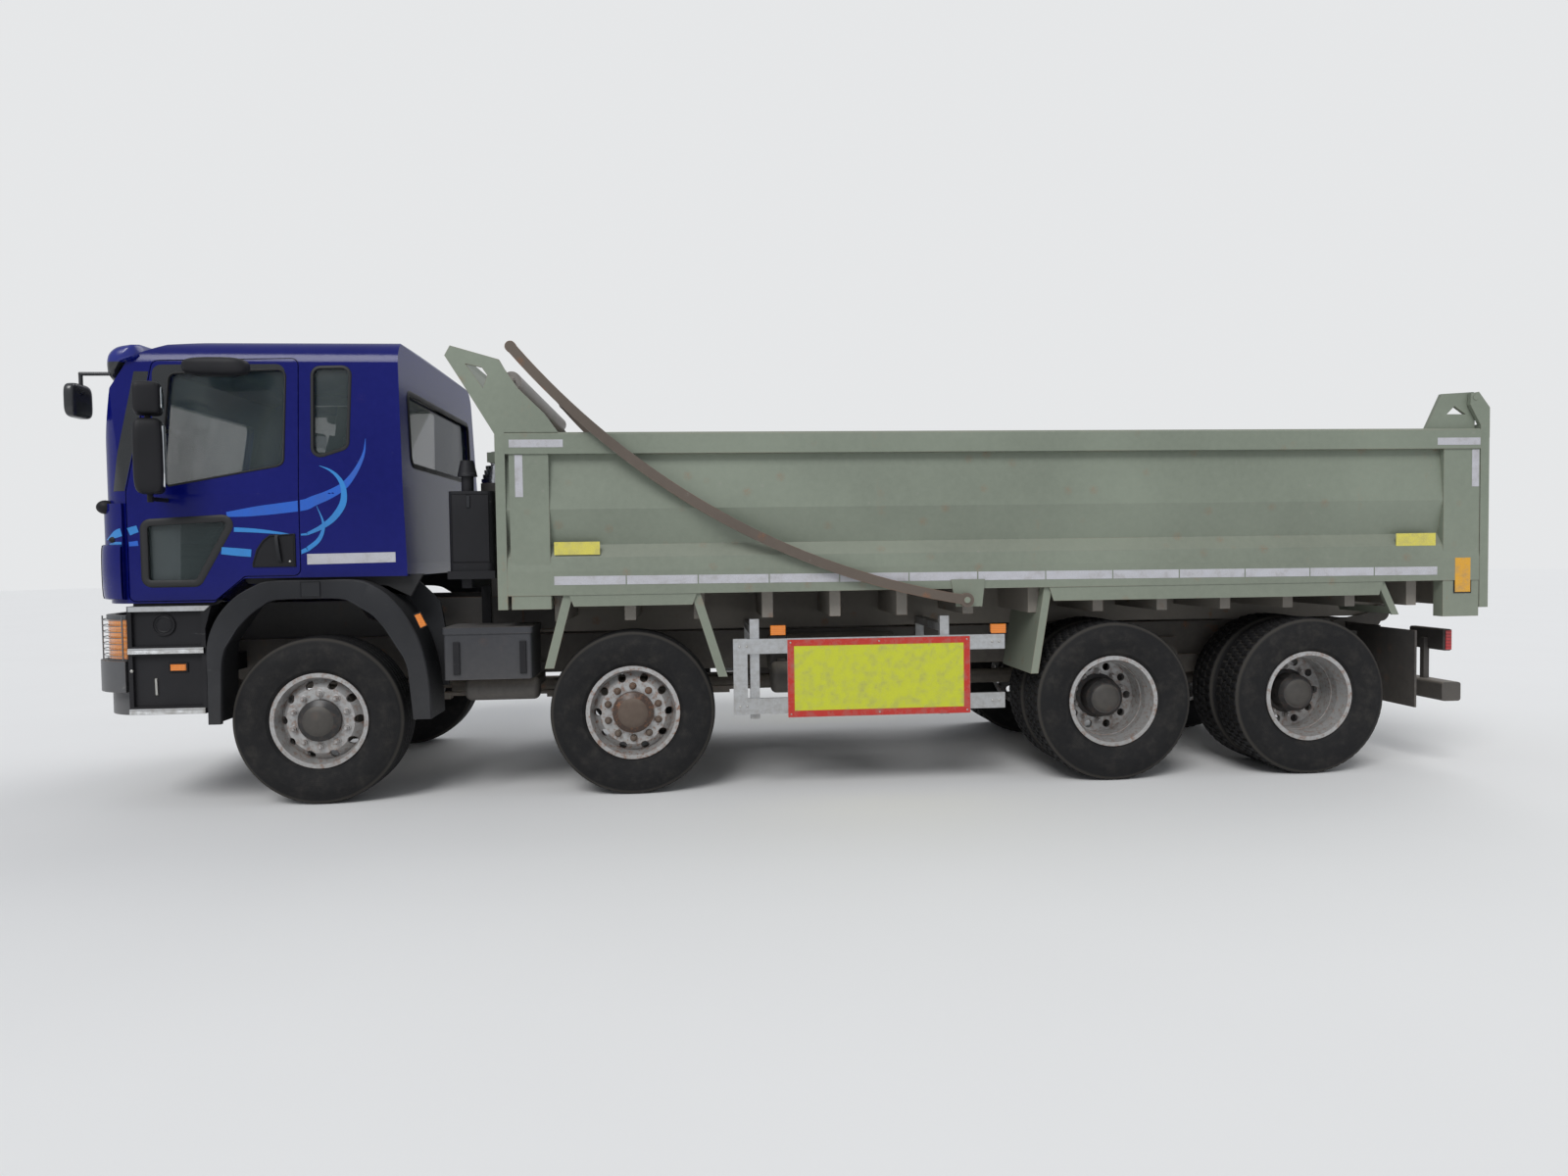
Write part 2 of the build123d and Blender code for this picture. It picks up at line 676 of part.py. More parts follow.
# Headlamps in the bumper's corners
lamp_low_z = bumper_top_z + 12
lamp_high_z = lamp_band_top_z - 28
lamp_body = bumper_ring(lamp_low_z + 0.3, lamp_high_z - 0.3, 24, 90, bumper_rear_x - 20)
with BuildPart() as headlamps:
    add(lamp_body)
    with BuildSketch(level_plane(lamp_low_z)):
        for side in (-1, 1):
            with Locations((cab_front_x + 150, side * (lamp_inner_y + 300.3))):
                Rectangle(1000, 600)
    extrude(amount=lamp_high_z - lamp_low_z, mode=Mode.INTERSECT)
keep(headlamps.part, "headlamps")

# Step wells: two treads a side below the doors, with the frame's outrigger behind them
step_front_x = axle_1_x - 1095
step_rear_x = axle_1_x - 640
step_outer_y = 1205
step_inner_y = 900
tread_zs = [600, 970]
with BuildPart() as step_wells:
    with BuildSketch(side_plane(-step_inner_y)):
        Polygon((step_front_x, tread_zs[0]), (step_rear_x, tread_zs[0]), (step_rear_x, 1120), (step_rear_x + 40, cab_low_z - 15),
                (step_front_x, cab_low_z - 15), align=None)
    extrude(amount=step_outer_y - step_inner_y)
    with BuildSketch(side_plane(-(step_outer_y - 22))):
        for low, high in ((tread_zs[0] + 45, tread_zs[1] - 12), (tread_zs[1] + 45, cab_low_z - 40)):
            with Locations(((step_front_x + step_rear_x) / 2, (low + high) / 2)):
                Rectangle(step_rear_x - step_front_x - 50, high - low)
    extrude(amount=22, mode=Mode.SUBTRACT)
    with BuildSketch(side_plane(-step_outer_y)):
        for z in (tread_zs[0] + 16, tread_zs[1] + 16):
            with Locations(((step_front_x + step_rear_x) / 2, z)):
                Rectangle(step_rear_x - step_front_x - 10, 34)
    extrude(amount=15)
    with BuildSketch(side_plane(-(rail_outer_y + 0.3))):
        with Locations((step_front_x + 330, 850)):
            Rectangle(90, 110)
    extrude(amount=step_inner_y - rail_outer_y)
    mirror(about=Plane.XZ)
keep(step_wells.part, "step_wells")

# Front mudguards: arched shells over axle 1 with a deep outer lip, on brackets from the frame
guard_inner_y = 865
guard_outer_y = 1222
with BuildPart() as mudguards:
    with BuildSketch(side_plane(-guard_inner_y)):
        with BuildLine():
            Polyline(*from_axle((-632, 530), (-628, 1010), (-470, 1290), (-250, 1400), (250, 1400), (480, 1275),
                                (655, 950), (697, 530), (640, 530), (625, 900), (440, 1215), (235, 1330),
                                (-235, 1330), (-430, 1235), (-600, 990), (-612, 530)), close=True)
        make_face()
    extrude(amount=guard_outer_y - guard_inner_y)
    with BuildSketch(side_plane(-(guard_outer_y - 28))):
        with BuildLine():
            Polyline(*from_axle((-632, 530), (-628, 1010), (-470, 1290), (-250, 1400), (250, 1400), (480, 1275),
                                (655, 950), (697, 530), (590, 530), (560, 880), (390, 1165), (190, 1292),
                                (-235, 1292), (-400, 1190), (-545, 960), (-560, 530)), close=True)
        make_face()
    extrude(amount=28)
    with BuildSketch(side_plane(-(rail_outer_y + 0.3))):
        with Locations((axle_1_x + 560, 1120)):
            Rectangle(70, 60)
    extrude(amount=guard_inner_y - rail_outer_y + 20)
    with BuildSketch(side_plane(-(rail_outer_y + 0.3))):
        with Locations((axle_1_x + 560, 1040)):
            Rectangle(70, 200)
    extrude(amount=30)
    mirror(about=Plane.XZ)
keep(mudguards.part, "mudguards")

# Battery box, near side between the steered axles, on two outriggers
battery_front_x = axle_1_x + 780
battery_rear_x = axle_1_x + 1318
battery_inner_y = 800
battery_outer_y = 1205
battery_low_z = 765
battery_top_z = 1092
with BuildPart() as battery_box:
    with BuildSketch(level_plane(battery_low_z)):
        with Locations(((battery_front_x + battery_rear_x) / 2, -(battery_inner_y + battery_outer_y) / 2)):
            RectangleRounded(battery_rear_x - battery_front_x, battery_outer_y - battery_inner_y, 18)
    extrude(amount=battery_top_z - 40 - battery_low_z)
    with BuildSketch(level_plane(battery_top_z - 40)):
        with Locations(((battery_front_x + battery_rear_x) / 2, -(battery_inner_y + battery_outer_y) / 2)):
            RectangleRounded(battery_rear_x - battery_front_x + 16, battery_outer_y - battery_inner_y + 16, 24)
    extrude(amount=40)
    with BuildSketch(side_plane(-(rail_outer_y + 0.3))):
        for x in (battery_front_x + 100, battery_rear_x - 100):
            with Locations((x, battery_low_z + 60)):
                Rectangle(60, 90)
    extrude(amount=battery_inner_y - rail_outer_y)
keep(battery_box.part, "battery_box")

# Tanks: air reservoirs under the rails on the near side and between the axles, fuel tank on the far side
air_tanks = [(870, -1010, battery_low_z - 80, 470, 75), (2840, -620, 840, 900, 130), (2840, -900, 700, 620, 105)]
fuel_front_x = axle_1_x + 2765
fuel_length = 1145
with BuildPart() as tanks:
    for behind, y, z, length, radius in air_tanks:
        with BuildSketch(cross_plane(axle_1_x + behind)):
            with Locations((y, z)):
                Circle(radius)
        extrude(amount=length)
    fillet(edges().filter_by(GeomType.CIRCLE), 40)
    with BuildSketch(cross_plane(fuel_front_x)):
        with Locations((850, 740)):
            RectangleRounded(560, 520, 110)
    extrude(amount=fuel_length)
    for behind in (2900, 3600):
        with BuildSketch(cross_plane(axle_1_x + behind)):
            with Locations((-(rail_outer_y + 95), 880)):
                Rectangle(189.4, 60)
        extrude(amount=50)
    for behind in (2900, 3350):
        with BuildSketch(cross_plane(axle_1_x + behind)):
            with Locations((-760, 780)):
                Rectangle(150, 60)
        extrude(amount=50)
    for behind in (2850, 3750):
        with BuildSketch(cross_plane(axle_1_x + behind)):
            with Locations((rail_outer_y + 80, 850)):
                Rectangle(159.4, 80)
        extrude(amount=60)
    for behind in (930, 1260):
        with BuildSketch(cross_plane(axle_1_x + behind)):
            with Locations((-(rail_outer_y + 265), battery_low_z - 80)):
                Rectangle(529.4, 50)
            with Locations((-(rail_outer_y + 15), 735)):
                Rectangle(29.4, 110)
        extrude(amount=32)
keep(tanks.part, "tanks")

# Air intake: filter box on a shelf behind the cab, with its mushroom cap, near side
intake_front_x = axle_1_x + 815
intake_rear_x = axle_1_x + 1095
shelf_z = 1395
with BuildPart() as air_intake:
    with BuildSketch(level_plane(shelf_z)):
        with Locations(((intake_front_x + intake_rear_x) / 2, -930)):
            Rectangle(intake_rear_x - intake_front_x + 10, 500)
    extrude(amount=50)
    with BuildSketch(level_plane(shelf_z + 50)):
        with Locations(((intake_front_x + intake_rear_x) / 2, -950)):
            RectangleRounded(intake_rear_x - intake_front_x, 420, 45)
    extrude(amount=1945 - shelf_z - 50)
    with BuildSketch(level_plane(1945)):
        with Locations((axle_1_x + 925, -1080)):
            Circle(38)
    extrude(amount=130)
    with BuildSketch(level_plane(2040)):
        with Locations((axle_1_x + 925, -1080)):
            Circle(62)
    extrude(amount=100, taper=12)
    with BuildSketch(side_plane(-(rail_outer_y + 0.3))):
        Polygon((intake_front_x + 60, shelf_z), (intake_front_x + 120, shelf_z),
                (intake_front_x + 120, rail_top_z - 90), (intake_front_x + 60, rail_top_z - 90), align=None)
    extrude(amount=50)
    with BuildSketch(side_plane(-(rail_outer_y + 0.3))):
        Polygon((intake_front_x + 60, shelf_z), (intake_front_x + 120, shelf_z),
                (intake_front_x + 120, shelf_z - 60), (intake_front_x + 60, shelf_z - 60), align=None)
    extrude(amount=650)
keep(air_intake.part, "air_intake")

# Side guards: two aluminium rails on uprights each side, with the bare sign plate outside them
guard_front_x = axle_1_x + 2582
guard_rear_x = axle_1_x + 4346
guard_rail_y = 1200
guard_rails = [(890, 985), (505, 605)]
guard_posts = [2720, 3955]
sign_front_x = axle_1_x + 2927
sign_rear_x = axle_1_x + 4115
with BuildPart() as side_guards:
    for low, high in guard_rails:
        with BuildSketch(side_plane(-guard_rail_y)):
            with Locations(((guard_front_x + guard_rear_x) / 2, (low + high) / 2)):
                Rectangle(guard_rear_x - guard_front_x, high - low)
        extrude(amount=28)
    with BuildSketch(side_plane(-guard_rail_y)):
        with Locations((guard_front_x + 45, 745)):
            Rectangle(90, 485)
    extrude(amount=30)
    for behind in guard_posts:
        with BuildSketch(side_plane(-(guard_rail_y - 50))):
            with Locations((axle_1_x + behind, 790)):
                Rectangle(60, 640)
        extrude(amount=50)
        with BuildSketch(side_plane(-(rail_outer_y + 0.3))):
            with Locations((axle_1_x + behind, 1035)):
                Rectangle(60, 50)
        extrude(amount=guard_rail_y - rail_outer_y - 20)
        with BuildSketch(side_plane(-(rail_outer_y + 0.3))):
            with Locations((axle_1_x + behind, 960)):
                Rectangle(60, 200)
        extrude(amount=16)
    with BuildSketch(side_plane(-(guard_rail_y + 28))):
        with Locations(((sign_front_x + sign_rear_x) / 2, 728)):
            RectangleRounded(sign_rear_x - sign_front_x, 500, 16)
    extrude(amount=4)
    mirror(about=Plane.XZ)
keep(side_guards.part, "side_guards")

# Rear underrun beam, its drop arms, the lamp boxes and the mudflap hangers
underrun_front_x = axle_1_x + 7420
underrun_rear_x = axle_1_x + 7555
with BuildPart() as rear_underrun:
    with BuildSketch(side_plane(1150)):
        with Locations(((underrun_front_x + underrun_rear_x) / 2, 520)):
            RectangleRounded(underrun_rear_x - underrun_front_x, 130, 20)
    extrude(amount=2300)
    for y in (-390, 390):
        with BuildSketch(side_plane(y + 30)):
            Polygon((frame_rear_x - 140, 705), (frame_rear_x - 20, 705), (underrun_rear_x - 10, 560),
                    (underrun_front_x + 10, 560), align=None)
        extrude(amount=60)
        with BuildSketch(level_plane(700)):
            with Locations((frame_rear_x - 80, y)):
                Rectangle(140, 66)
        extrude(amount=rail_top_z - rail_depth - 700.3)
    for y in (-880, 880):
        with BuildSketch(side_plane(y + 170)):
            with Locations((axle_1_x + 7530, 865)):
                RectangleRounded(60, 150, 14)
        extrude(amount=340)
        with BuildSketch(side_plane(y + 20)):
            with Locations((axle_1_x + 7490, 700)):
                Rectangle(40, 340)
        extrude(amount=40)
    mudflap_x = axle_1_x + 7170
    flap_seat_y = hinge_cheek_inner_y + hinge_cheek_thickness + 0.3
    with BuildSketch(cross_plane(mudflap_x)):
        for side in (-1, 1):
            with Locations((side * 910, 690)):
                Rectangle(620, 520)
            with Locations((side * (flap_seat_y + 380) / 2 + side * flap_seat_y / 2, 930)):
                Rectangle(380, 60)
    extrude(amount=14)
    with BuildSketch(cross_plane(mudflap_x)):
        for side in (-1, 1):
            with Locations((side * (flap_seat_y + 8), 890)):
                Rectangle(16, 120)
    extrude(amount=90)
keep(rear_underrun.part, "rear_underrun")

# Body side wall cross-section: (distance from the centre plane, height), folded along its crease
side_section = [(side_inner_y, floor_z), (1245, floor_z), (1245, 1435), (1235, 1520), (1180, 1600), (1236, 1822),
                (1195, body_rail_low_z), (body_half_width, body_rail_low_z), (body_half_width, body_top_z - 12),
                (body_half_width - 12, body_top_z), (side_inner_y, body_top_z)]
front_post = (axle_1_x + 1210, axle_1_x + 1452, 1200)
rear_post = (axle_1_x + 7350, body_rear_x, 1042)
valances = [(1560, 2360, 1213), (4640, 6930, 1195)]

# Body floor: plate on cross-members and two long rails that carry the hinge ears
well_half_width = 135
well_depth = 290
long_rail_low_z = rail_top_z + running_gap + 10
cross_low_z = 1115
cross_member_pitch = 440
well_rear_x = body_front_x + well_depth
with BuildPart() as bed_floor:
    with BuildSketch(level_plane(floor_z)):
        with Locations(((body_front_x + headboard_thickness + body_rear_x) / 2, 0)):
            Rectangle(body_rear_x - body_front_x - headboard_thickness, 2 * side_inner_y - 0.6)
        with Locations((body_front_x + (well_depth + 20) / 2, 0)):
            Rectangle(well_depth + 20, 2 * well_half_width + 40, mode=Mode.SUBTRACT)
    extrude(amount=floor_thickness)
    with BuildSketch(side_plane(-(rail_outer_y - rail_width))):
        Polygon((body_front_x + 120, long_rail_low_z), (tip_hinge_x - 90, long_rail_low_z),
                (tip_hinge_x - 60, cross_low_z + 20), (body_rear_x - 20, cross_low_z + 20), (body_rear_x - 20, floor_z),
                (body_front_x + 120, floor_z), align=None)
    extrude(amount=rail_width)
    with BuildSketch(side_plane(-(rail_outer_y - rail_width + 8))):
        Polygon((tip_hinge_x - 150, long_rail_low_z + 60), (tip_hinge_x - 42, tip_hinge_z - 30),
                (tip_hinge_x + 42, tip_hinge_z - 30), (tip_hinge_x + 70, cross_low_z + 60),
                (tip_hinge_x - 150, cross_low_z + 60), align=None)
        with Locations((tip_hinge_x, tip_hinge_z)):
            Circle(hinge_boss_radius - 4)
            Circle(hinge_pin_radius + pin_gap, mode=Mode.SUBTRACT)
    extrude(amount=rail_width - 14)
    mirror(about=Plane.XZ)
    member_count = int((body_rear_x - well_rear_x - 120) / cross_member_pitch)
    for i in range(member_count + 1):
        with BuildSketch(cross_plane(well_rear_x + 40 + i * cross_member_pitch)):
            with Locations((0, (cross_low_z + floor_z) / 2)):
                Rectangle(2 * side_inner_y - 20, floor_z - cross_low_z)
        extrude(amount=70)
    with BuildSketch(side_plane(side_inner_y - 10)):
        with Locations((body_rear_x - 50, (cross_low_z + 20 + floor_z) / 2)):
            Rectangle(100, floor_z - cross_low_z - 20)
    extrude(amount=2 * side_inner_y - 20)
keep(bed_floor.part, "bed_floor")

# Tailgate hinge ears on the rear posts: the body's plate, and the gate's arm that hangs from its pin
body_ear = from_axle((7240, body_top_z - 20), (7362, 2535), (7590, 2548), (7628, 2500), (7600, 2440),
                     (7600, body_top_z - 20))
ear_hole = from_axle((7400, 2400), (7535, 2400), (7455, 2455))
gate_ear = from_axle((7620, 2240), (7680, 2240), (7680, 2440), (7600, 2545), (7545, 2535), (7540, 2460), (7618, 2318))
gate_ear_inner_y = 1203
gate_ear_thickness = 30
gate_pin_radius = 18
bow_pivot = (bow_pivot_x, bow_pivot_z)
bow_pin_radius = 20
bow_plate = [(bow_pivot_x - 95, floor_z + 60), (bow_pivot_x - 60, bow_pivot_z - 45), (bow_pivot_x + 110, bow_pivot_z - 45),
             (bow_pivot_x + 130, floor_z + 60)]

# Body sides: folded walls with top and bottom rails, posts, wheel valances, gate ears and bow pivots
with BuildPart() as bed_sides:
    with BuildSketch(cross_plane(body_front_x + headboard_thickness + 0.3)):
        Polygon(*side_section, align=None)
    extrude(amount=body_rear_x - body_front_x - headboard_thickness - 0.3)
    with BuildSketch(side_plane(side_inner_y + 20)):
        for front, rear, low in (front_post, rear_post):
            with Locations(((front + rear) / 2, (low + body_rail_low_z) / 2)):
                Rectangle(rear - front, body_rail_low_z - low)
    extrude(amount=-(post_face_y - side_inner_y - 20))
    with BuildSketch(side_plane(post_face_y - 12)):
        for front, rear, low in valances:
            Polygon((axle_1_x + front, floor_z + 5), (axle_1_x + rear, floor_z + 5),
                    (axle_1_x + rear - 30, low), (axle_1_x + front + 30, low), align=None)
    extrude(amount=-12)
    with BuildSketch(side_plane(gate_ear_inner_y - 6)):
        Polygon(*body_ear, align=None)
        Polygon(*ear_hole, align=None, mode=Mode.SUBTRACT)
    extrude(amount=28)
    with BuildSketch(side_plane(gate_ear_inner_y + gate_ear_thickness + 4)):
        with Locations((gate_pin_x, gate_pin_z)):
            Circle(gate_pin_radius)
    extrude(amount=gate_ear_thickness + 20)
    with BuildSketch(side_plane(bow_inner_y - 8)):
        Polygon(*bow_plate, align=None)
    extrude(amount=14)
    with BuildSketch(side_plane(bow_inner_y + bow_width + 6)):
        with Locations(bow_pivot):
            Circle(bow_pin_radius)
    extrude(amount=bow_width + 20)
    mirror(about=Plane.XZ)
keep(bed_sides.part, "bed_sides")

# Headboard: front wall with the ram's well, side wings and the canopy that leans over the cab gap
wing_outline = from_axle((1127, 2300), (838, 2772), (872, 2832), (1165, 2748), (1196, 2692), (1276, 2572),
                         (1430, 2420), (1515, 2300))
wing_hole = from_axle((962, 2722), (1060, 2700), (1094, 2650), (1066, 2572))
canopy_line = from_axle((1127, 2290), (842, 2770), (872, 2832), (890, 2822), (905, 2775), (1187, 2300))
with BuildPart() as headboard:
    with BuildSketch(side_plane(body_half_width - 5)):
        Polygon((body_front_x, 1200), (body_front_x + headboard_thickness, 1200),
                (body_front_x + headboard_thickness, 2300), (body_front_x, 2300), align=None)
    extrude(amount=2 * (body_half_width - 5))
    with BuildSketch(side_plane(body_half_width - 5)):
        Polygon(*canopy_line, align=None)
    extrude(amount=2 * (body_half_width - 5))
    with BuildSketch(side_plane(-(body_half_width - 35))):
        Polygon(*wing_outline, align=None)
        Polygon(*wing_hole, align=None, mode=Mode.SUBTRACT)
    extrude(amount=30)
    mirror(about=Plane.XZ)
    well_profile = [(body_front_x, 1190), (well_rear_x, 1190), (well_rear_x, 1620), (body_front_x + 55, 2020),
                    (body_front_x, 2020)]
    with BuildSketch(side_plane(well_half_width)):
        Polygon((body_front_x + 20, 1200), (well_rear_x + 8, 1200), (well_rear_x + 8, 1624),
                (body_front_x + 20, 2060), align=None)
    extrude(amount=2 * well_half_width)
    with BuildSketch(side_plane(well_half_width - 8)):
        Polygon(*well_profile, align=None)
    extrude(amount=2 * well_half_width - 16, mode=Mode.SUBTRACT)
    for side in (-1, 1):
        with BuildSketch(side_plane(side * (ram_ear_y + 10) + 10)):
            Polygon((body_front_x + 5, 2180), (body_front_x + 5, 2295), (ram_x - 40, ram_eye_z + 35),
                    (ram_x - 40, ram_eye_z - 35), align=None)
        extrude(amount=20)
    with BuildSketch(side_plane(1150)):
        with Locations((axle_1_x + 1225, 2632)):
            Circle(58)
    extrude(amount=2300)
    for side in (-1, 1):
        with BuildSketch(side_plane(side * 1182 + 34)):
            with Locations((axle_1_x + 1225, 2632)):
                Circle(20)
        extrude(amount=68)
keep(headboard.part, "headboard")

# Body stays: flanged sheets that hang fore and aft of the wheels, and the bow's pivot plates
stay_top_z = floor_z - 0.3
stay_thickness = 12
stay_lines = [((1525, 1400), 826, 860, 58), ((2380, 2545), 750, 860, 58), ((4612, 4519), 722, 600, 50),
              ((6945, 7050), 1060, 600, 50)]
with BuildPart() as bed_stays:
    for (top_x, low_x), low_z, inner_y, flange in stay_lines:
        inward = 1 if low_x < top_x else -1
        under_z = cross_low_z - running_gap
        under_x = low_x + (top_x - low_x) * (under_z - low_z) / (stay_top_z - low_z)
        for near_y, far_y, high_x, high_z, width in (
                (inner_y, side_inner_y + 5, under_x, under_z, stay_thickness),
                (side_inner_y + 5, 1226, top_x, stay_top_z, stay_thickness),
                (1214, 1226, top_x, stay_top_z, flange)):
            with BuildSketch(side_plane(far_y)):
                Polygon(*from_axle((low_x, low_z), (low_x + inward * width, low_z), (high_x + inward * width, high_z),
                                   (high_x, high_z)), align=None)
            extrude(amount=far_y - near_y)
    mirror(about=Plane.XZ)
keep(bed_stays.part, "bed_stays")

# Tailgate: ribbed plate in a box frame
with BuildPart() as tailgate:
    with BuildSketch(side_plane(post_face_y - 5)):
        Polygon((gate_front_x, gate_low_z), (gate_front_x + gate_thickness, gate_low_z),
                (gate_front_x + gate_thickness, body_top_z + 30), (gate_front_x, body_top_z + 30), align=None)
    extrude(amount=2 * (post_face_y - 5))
    gate_field_height = (body_top_z + 30 - gate_low_z - 240) / 2
    with BuildSketch(cross_plane(gate_front_x + 14)):
        for y in range(-980, 981, 490):
            for low in (gate_low_z + 90, gate_low_z + 150 + gate_field_height):
                with Locations((y, low + gate_field_height / 2)):
                    RectangleRounded(430, gate_field_height, 30)
    extrude(amount=gate_thickness, mode=Mode.SUBTRACT)
    with BuildSketch(side_plane(-gate_ear_inner_y)):
        Polygon(*gate_ear, align=None)
        with Locations((gate_pin_x, gate_pin_z)):
            Circle(gate_pin_radius + pin_gap, mode=Mode.SUBTRACT)
    extrude(amount=gate_ear_thickness)
    mirror(about=Plane.XZ)
keep(tailgate.part, "tailgate")

# Sheet bow: two curved flat-tube arms outside the body, joined by a cross tube over the headboard
bow_tip = from_axle((1246, 2817))[0]
bow_knee = from_axle((2301, 1893))[0]
bow_eye_radius = 45
bow_cross_radius = 26
with BuildPart() as sheet_bow:
    with BuildSketch(side_plane(-bow_inner_y)):
        with BuildLine():
            ThreePointArc(bow_tip, bow_knee, bow_pivot)
        trace(line_width=bow_depth)
        with Locations(bow_pivot):
            Circle(bow_eye_radius)
        with Locations(bow_tip):
            Circle(bow_cross_radius + 8)
        with Locations(bow_pivot):
            Circle(bow_pin_radius + pin_gap, mode=Mode.SUBTRACT)
    extrude(amount=bow_width)
    mirror(about=Plane.XZ)
    with BuildSketch(side_plane(bow_inner_y + 10)):
        with Locations(bow_tip):
            Circle(bow_cross_radius)
    extrude(amount=2 * bow_inner_y + 20)
keep(sheet_bow.part, "sheet_bow")

# Telescopic ram: outer cover with trunnion, then nested stages, each with a collar at its head
stage_wall = 8
stage_gap = 0.6
stage_radii = [cover_radius - (i + 1) * (stage_wall + stage_gap + 2) for i in range(ram_stage_count)]
cover_low_z = ram_base_z - 70
cover_top_z = cover_low_z + 1385
collar_height = 26
collar_step = 32
with BuildPart() as ram_cover:
    with BuildSketch(level_plane(cover_low_z)):
        with Locations((ram_x, 0)):
            Circle(cover_radius)
    extrude(amount=cover_top_z - cover_low_z)
    with BuildSketch(level_plane(cover_low_z + 30)):
        with Locations((ram_x, 0)):
            Circle(stage_radii[0] + stage_gap)
    extrude(amount=cover_top_z - cover_low_z, mode=Mode.SUBTRACT)
    with BuildSketch(side_plane(ram_side)):
        with Locations((ram_x, ram_base_z)):
            Circle(trunnion_radius)
    extrude(amount=2 * ram_side)
    with BuildSketch(level_plane(cover_low_z + 30)):
        with Locations((ram_x, 0)):
            Circle(stage_radii[0] + stage_gap)
    extrude(amount=200, mode=Mode.SUBTRACT)
keep(ram_cover.part, "ram_cover")
for i, radius in enumerate(stage_radii):
    last = i == ram_stage_count - 1
    low_z = cover_low_z + 40 + 8 * i
    head_z = cover_top_z + 6 + collar_step * i
    with BuildPart() as ram_stage:
        with BuildSketch(level_plane(low_z)):
            with Locations((ram_x, 0)):
                Circle(radius)
        extrude(amount=head_z - low_z)
        with BuildSketch(level_plane(head_z)):
            with Locations((ram_x, 0)):
                Circle(radius + 5)
        extrude(amount=collar_height)
        if not last:
            with BuildSketch(level_plane(low_z + 5)):
                with Locations((ram_x, 0)):
                    Circle(stage_radii[i + 1] + stage_gap)
            extrude(amount=head_z + collar_height - low_z, mode=Mode.SUBTRACT)
        else:
            with BuildSketch(level_plane(head_z)):
                with Locations((ram_x, 0)):
                    Circle(32)
            extrude(amount=ram_eye_z - head_z - 20)
            for half_width, eye_radius in ((40, 48), (ram_ear_y - running_gap, 20)):
                with BuildSketch(side_plane(half_width)):
                    with Locations((ram_x, ram_eye_z)):
                        Circle(eye_radius)
                extrude(amount=2 * half_width)
    keep(ram_stage.part, f"ram_stage_{i + 1}")

# Steering knuckles: forked ears round the beam's eye, kingpin, brake drum and stub
ear_gap = 3
drum_inner_y = kingpin_y + beam_eye_radius + 12
drum_outer_y = drum_inner_y + 110
arm_reach = 230
arm_inset = 50
arm_thickness = 30
ball_radius = 12
front_bore_depth = 125
arm_z = axle_z - 165
steered = [("axle_1", axle_1_x), ("axle_2", axle_2_x)]
for axle, x in steered:
    with BuildPart() as knuckle:
        for low in (axle_z - knuckle_height / 2, axle_z + beam_eye_height / 2 + ear_gap):
            with BuildSketch(level_plane(low)):
                with Locations((x, -kingpin_y)):
                    Circle(50)
                with Locations((x, -(kingpin_y + drum_inner_y) / 2 - 10)):
                    Rectangle(100, drum_inner_y - kingpin_y + 20)
            extrude(amount=(knuckle_height - beam_eye_height) / 2 - ear_gap)
        with BuildSketch(level_plane(axle_z - knuckle_height / 2)):
            with Locations((x, -kingpin_y)):
                Circle(kingpin_radius)
        extrude(amount=knuckle_height)
        with BuildSketch(side_plane(-drum_inner_y)):
            with Locations((x, axle_z)):
                Circle(drum_radius)
        extrude(amount=drum_outer_y - drum_inner_y)
        with BuildSketch(side_plane(-drum_outer_y)):
            with Locations((x, axle_z)):
                Circle(spindle_radius)
        extrude(amount=front_track_half + front_bore_depth - seat_gap - drum_outer_y)
        with BuildSketch(level_plane(arm_z)):
            Polygon((x, -kingpin_y - 30), (x + arm_reach, -kingpin_y + arm_inset - 24),
                    (x + arm_reach, -kingpin_y + arm_inset + 24), (x, -kingpin_y + 30), align=None)
            with Locations((x + arm_reach, -kingpin_y + arm_inset)):
                Circle(32)
                Circle(ball_radius + pin_gap, mode=Mode.SUBTRACT)
        extrude(amount=arm_thickness)
        with BuildSketch(level_plane(arm_z)):
            with Locations((x, -kingpin_y)):
                Circle(42)
        extrude(amount=arm_thickness + 10)
    for side, label in ((-1, "near"), (1, "far")):
        solid = knuckle.part if side < 0 else knuckle.part.mirror(Plane.XZ)
        keep(solid, f"{label}_knuckle_{axle[-1]}")

# Track rods between each steered axle's arms, pinned to the near arm by its ball stud
rod_radius = 20
rod_end_y = kingpin_y - arm_inset
rod_end_height = 50
for axle, x in steered:
    with BuildPart() as track_rod:
        with BuildSketch(side_plane(rod_end_y)):
            with Locations((x + arm_reach, arm_z - running_gap - rod_end_height / 2)):
                Circle(rod_radius)
        extrude(amount=2 * rod_end_y)
        for y in (-rod_end_y, rod_end_y):
            with BuildSketch(level_plane(arm_z - running_gap - rod_end_height)):
                with Locations((x + arm_reach, y)):
                    Circle(30)
            extrude(amount=rod_end_height)
        with BuildSketch(level_plane(arm_z - running_gap)):
            with Locations((x + arm_reach, -rod_end_y)):
                Circle(ball_radius)
        extrude(amount=arm_thickness + running_gap + 4)
    keep(track_rod.part, f"track_rod_{axle[-1]}")

# Tyres: (radius, distance from the tyre's middle)
tyre_profile = [(rim_radius, 104), (400, tyre_width / 2), (470, tyre_width / 2 - 3), (tyre_radius, tread_width / 2)]
tyre_section = tyre_profile + [(r, -y) for r, y in reversed(tyre_profile)]


def wheel_points(section, x, y_middle):
    """A wheel section set out from the axle's line, outboard towards -Y."""
    return [(x + radius, -y_middle - outboard) for radius, outboard in section]


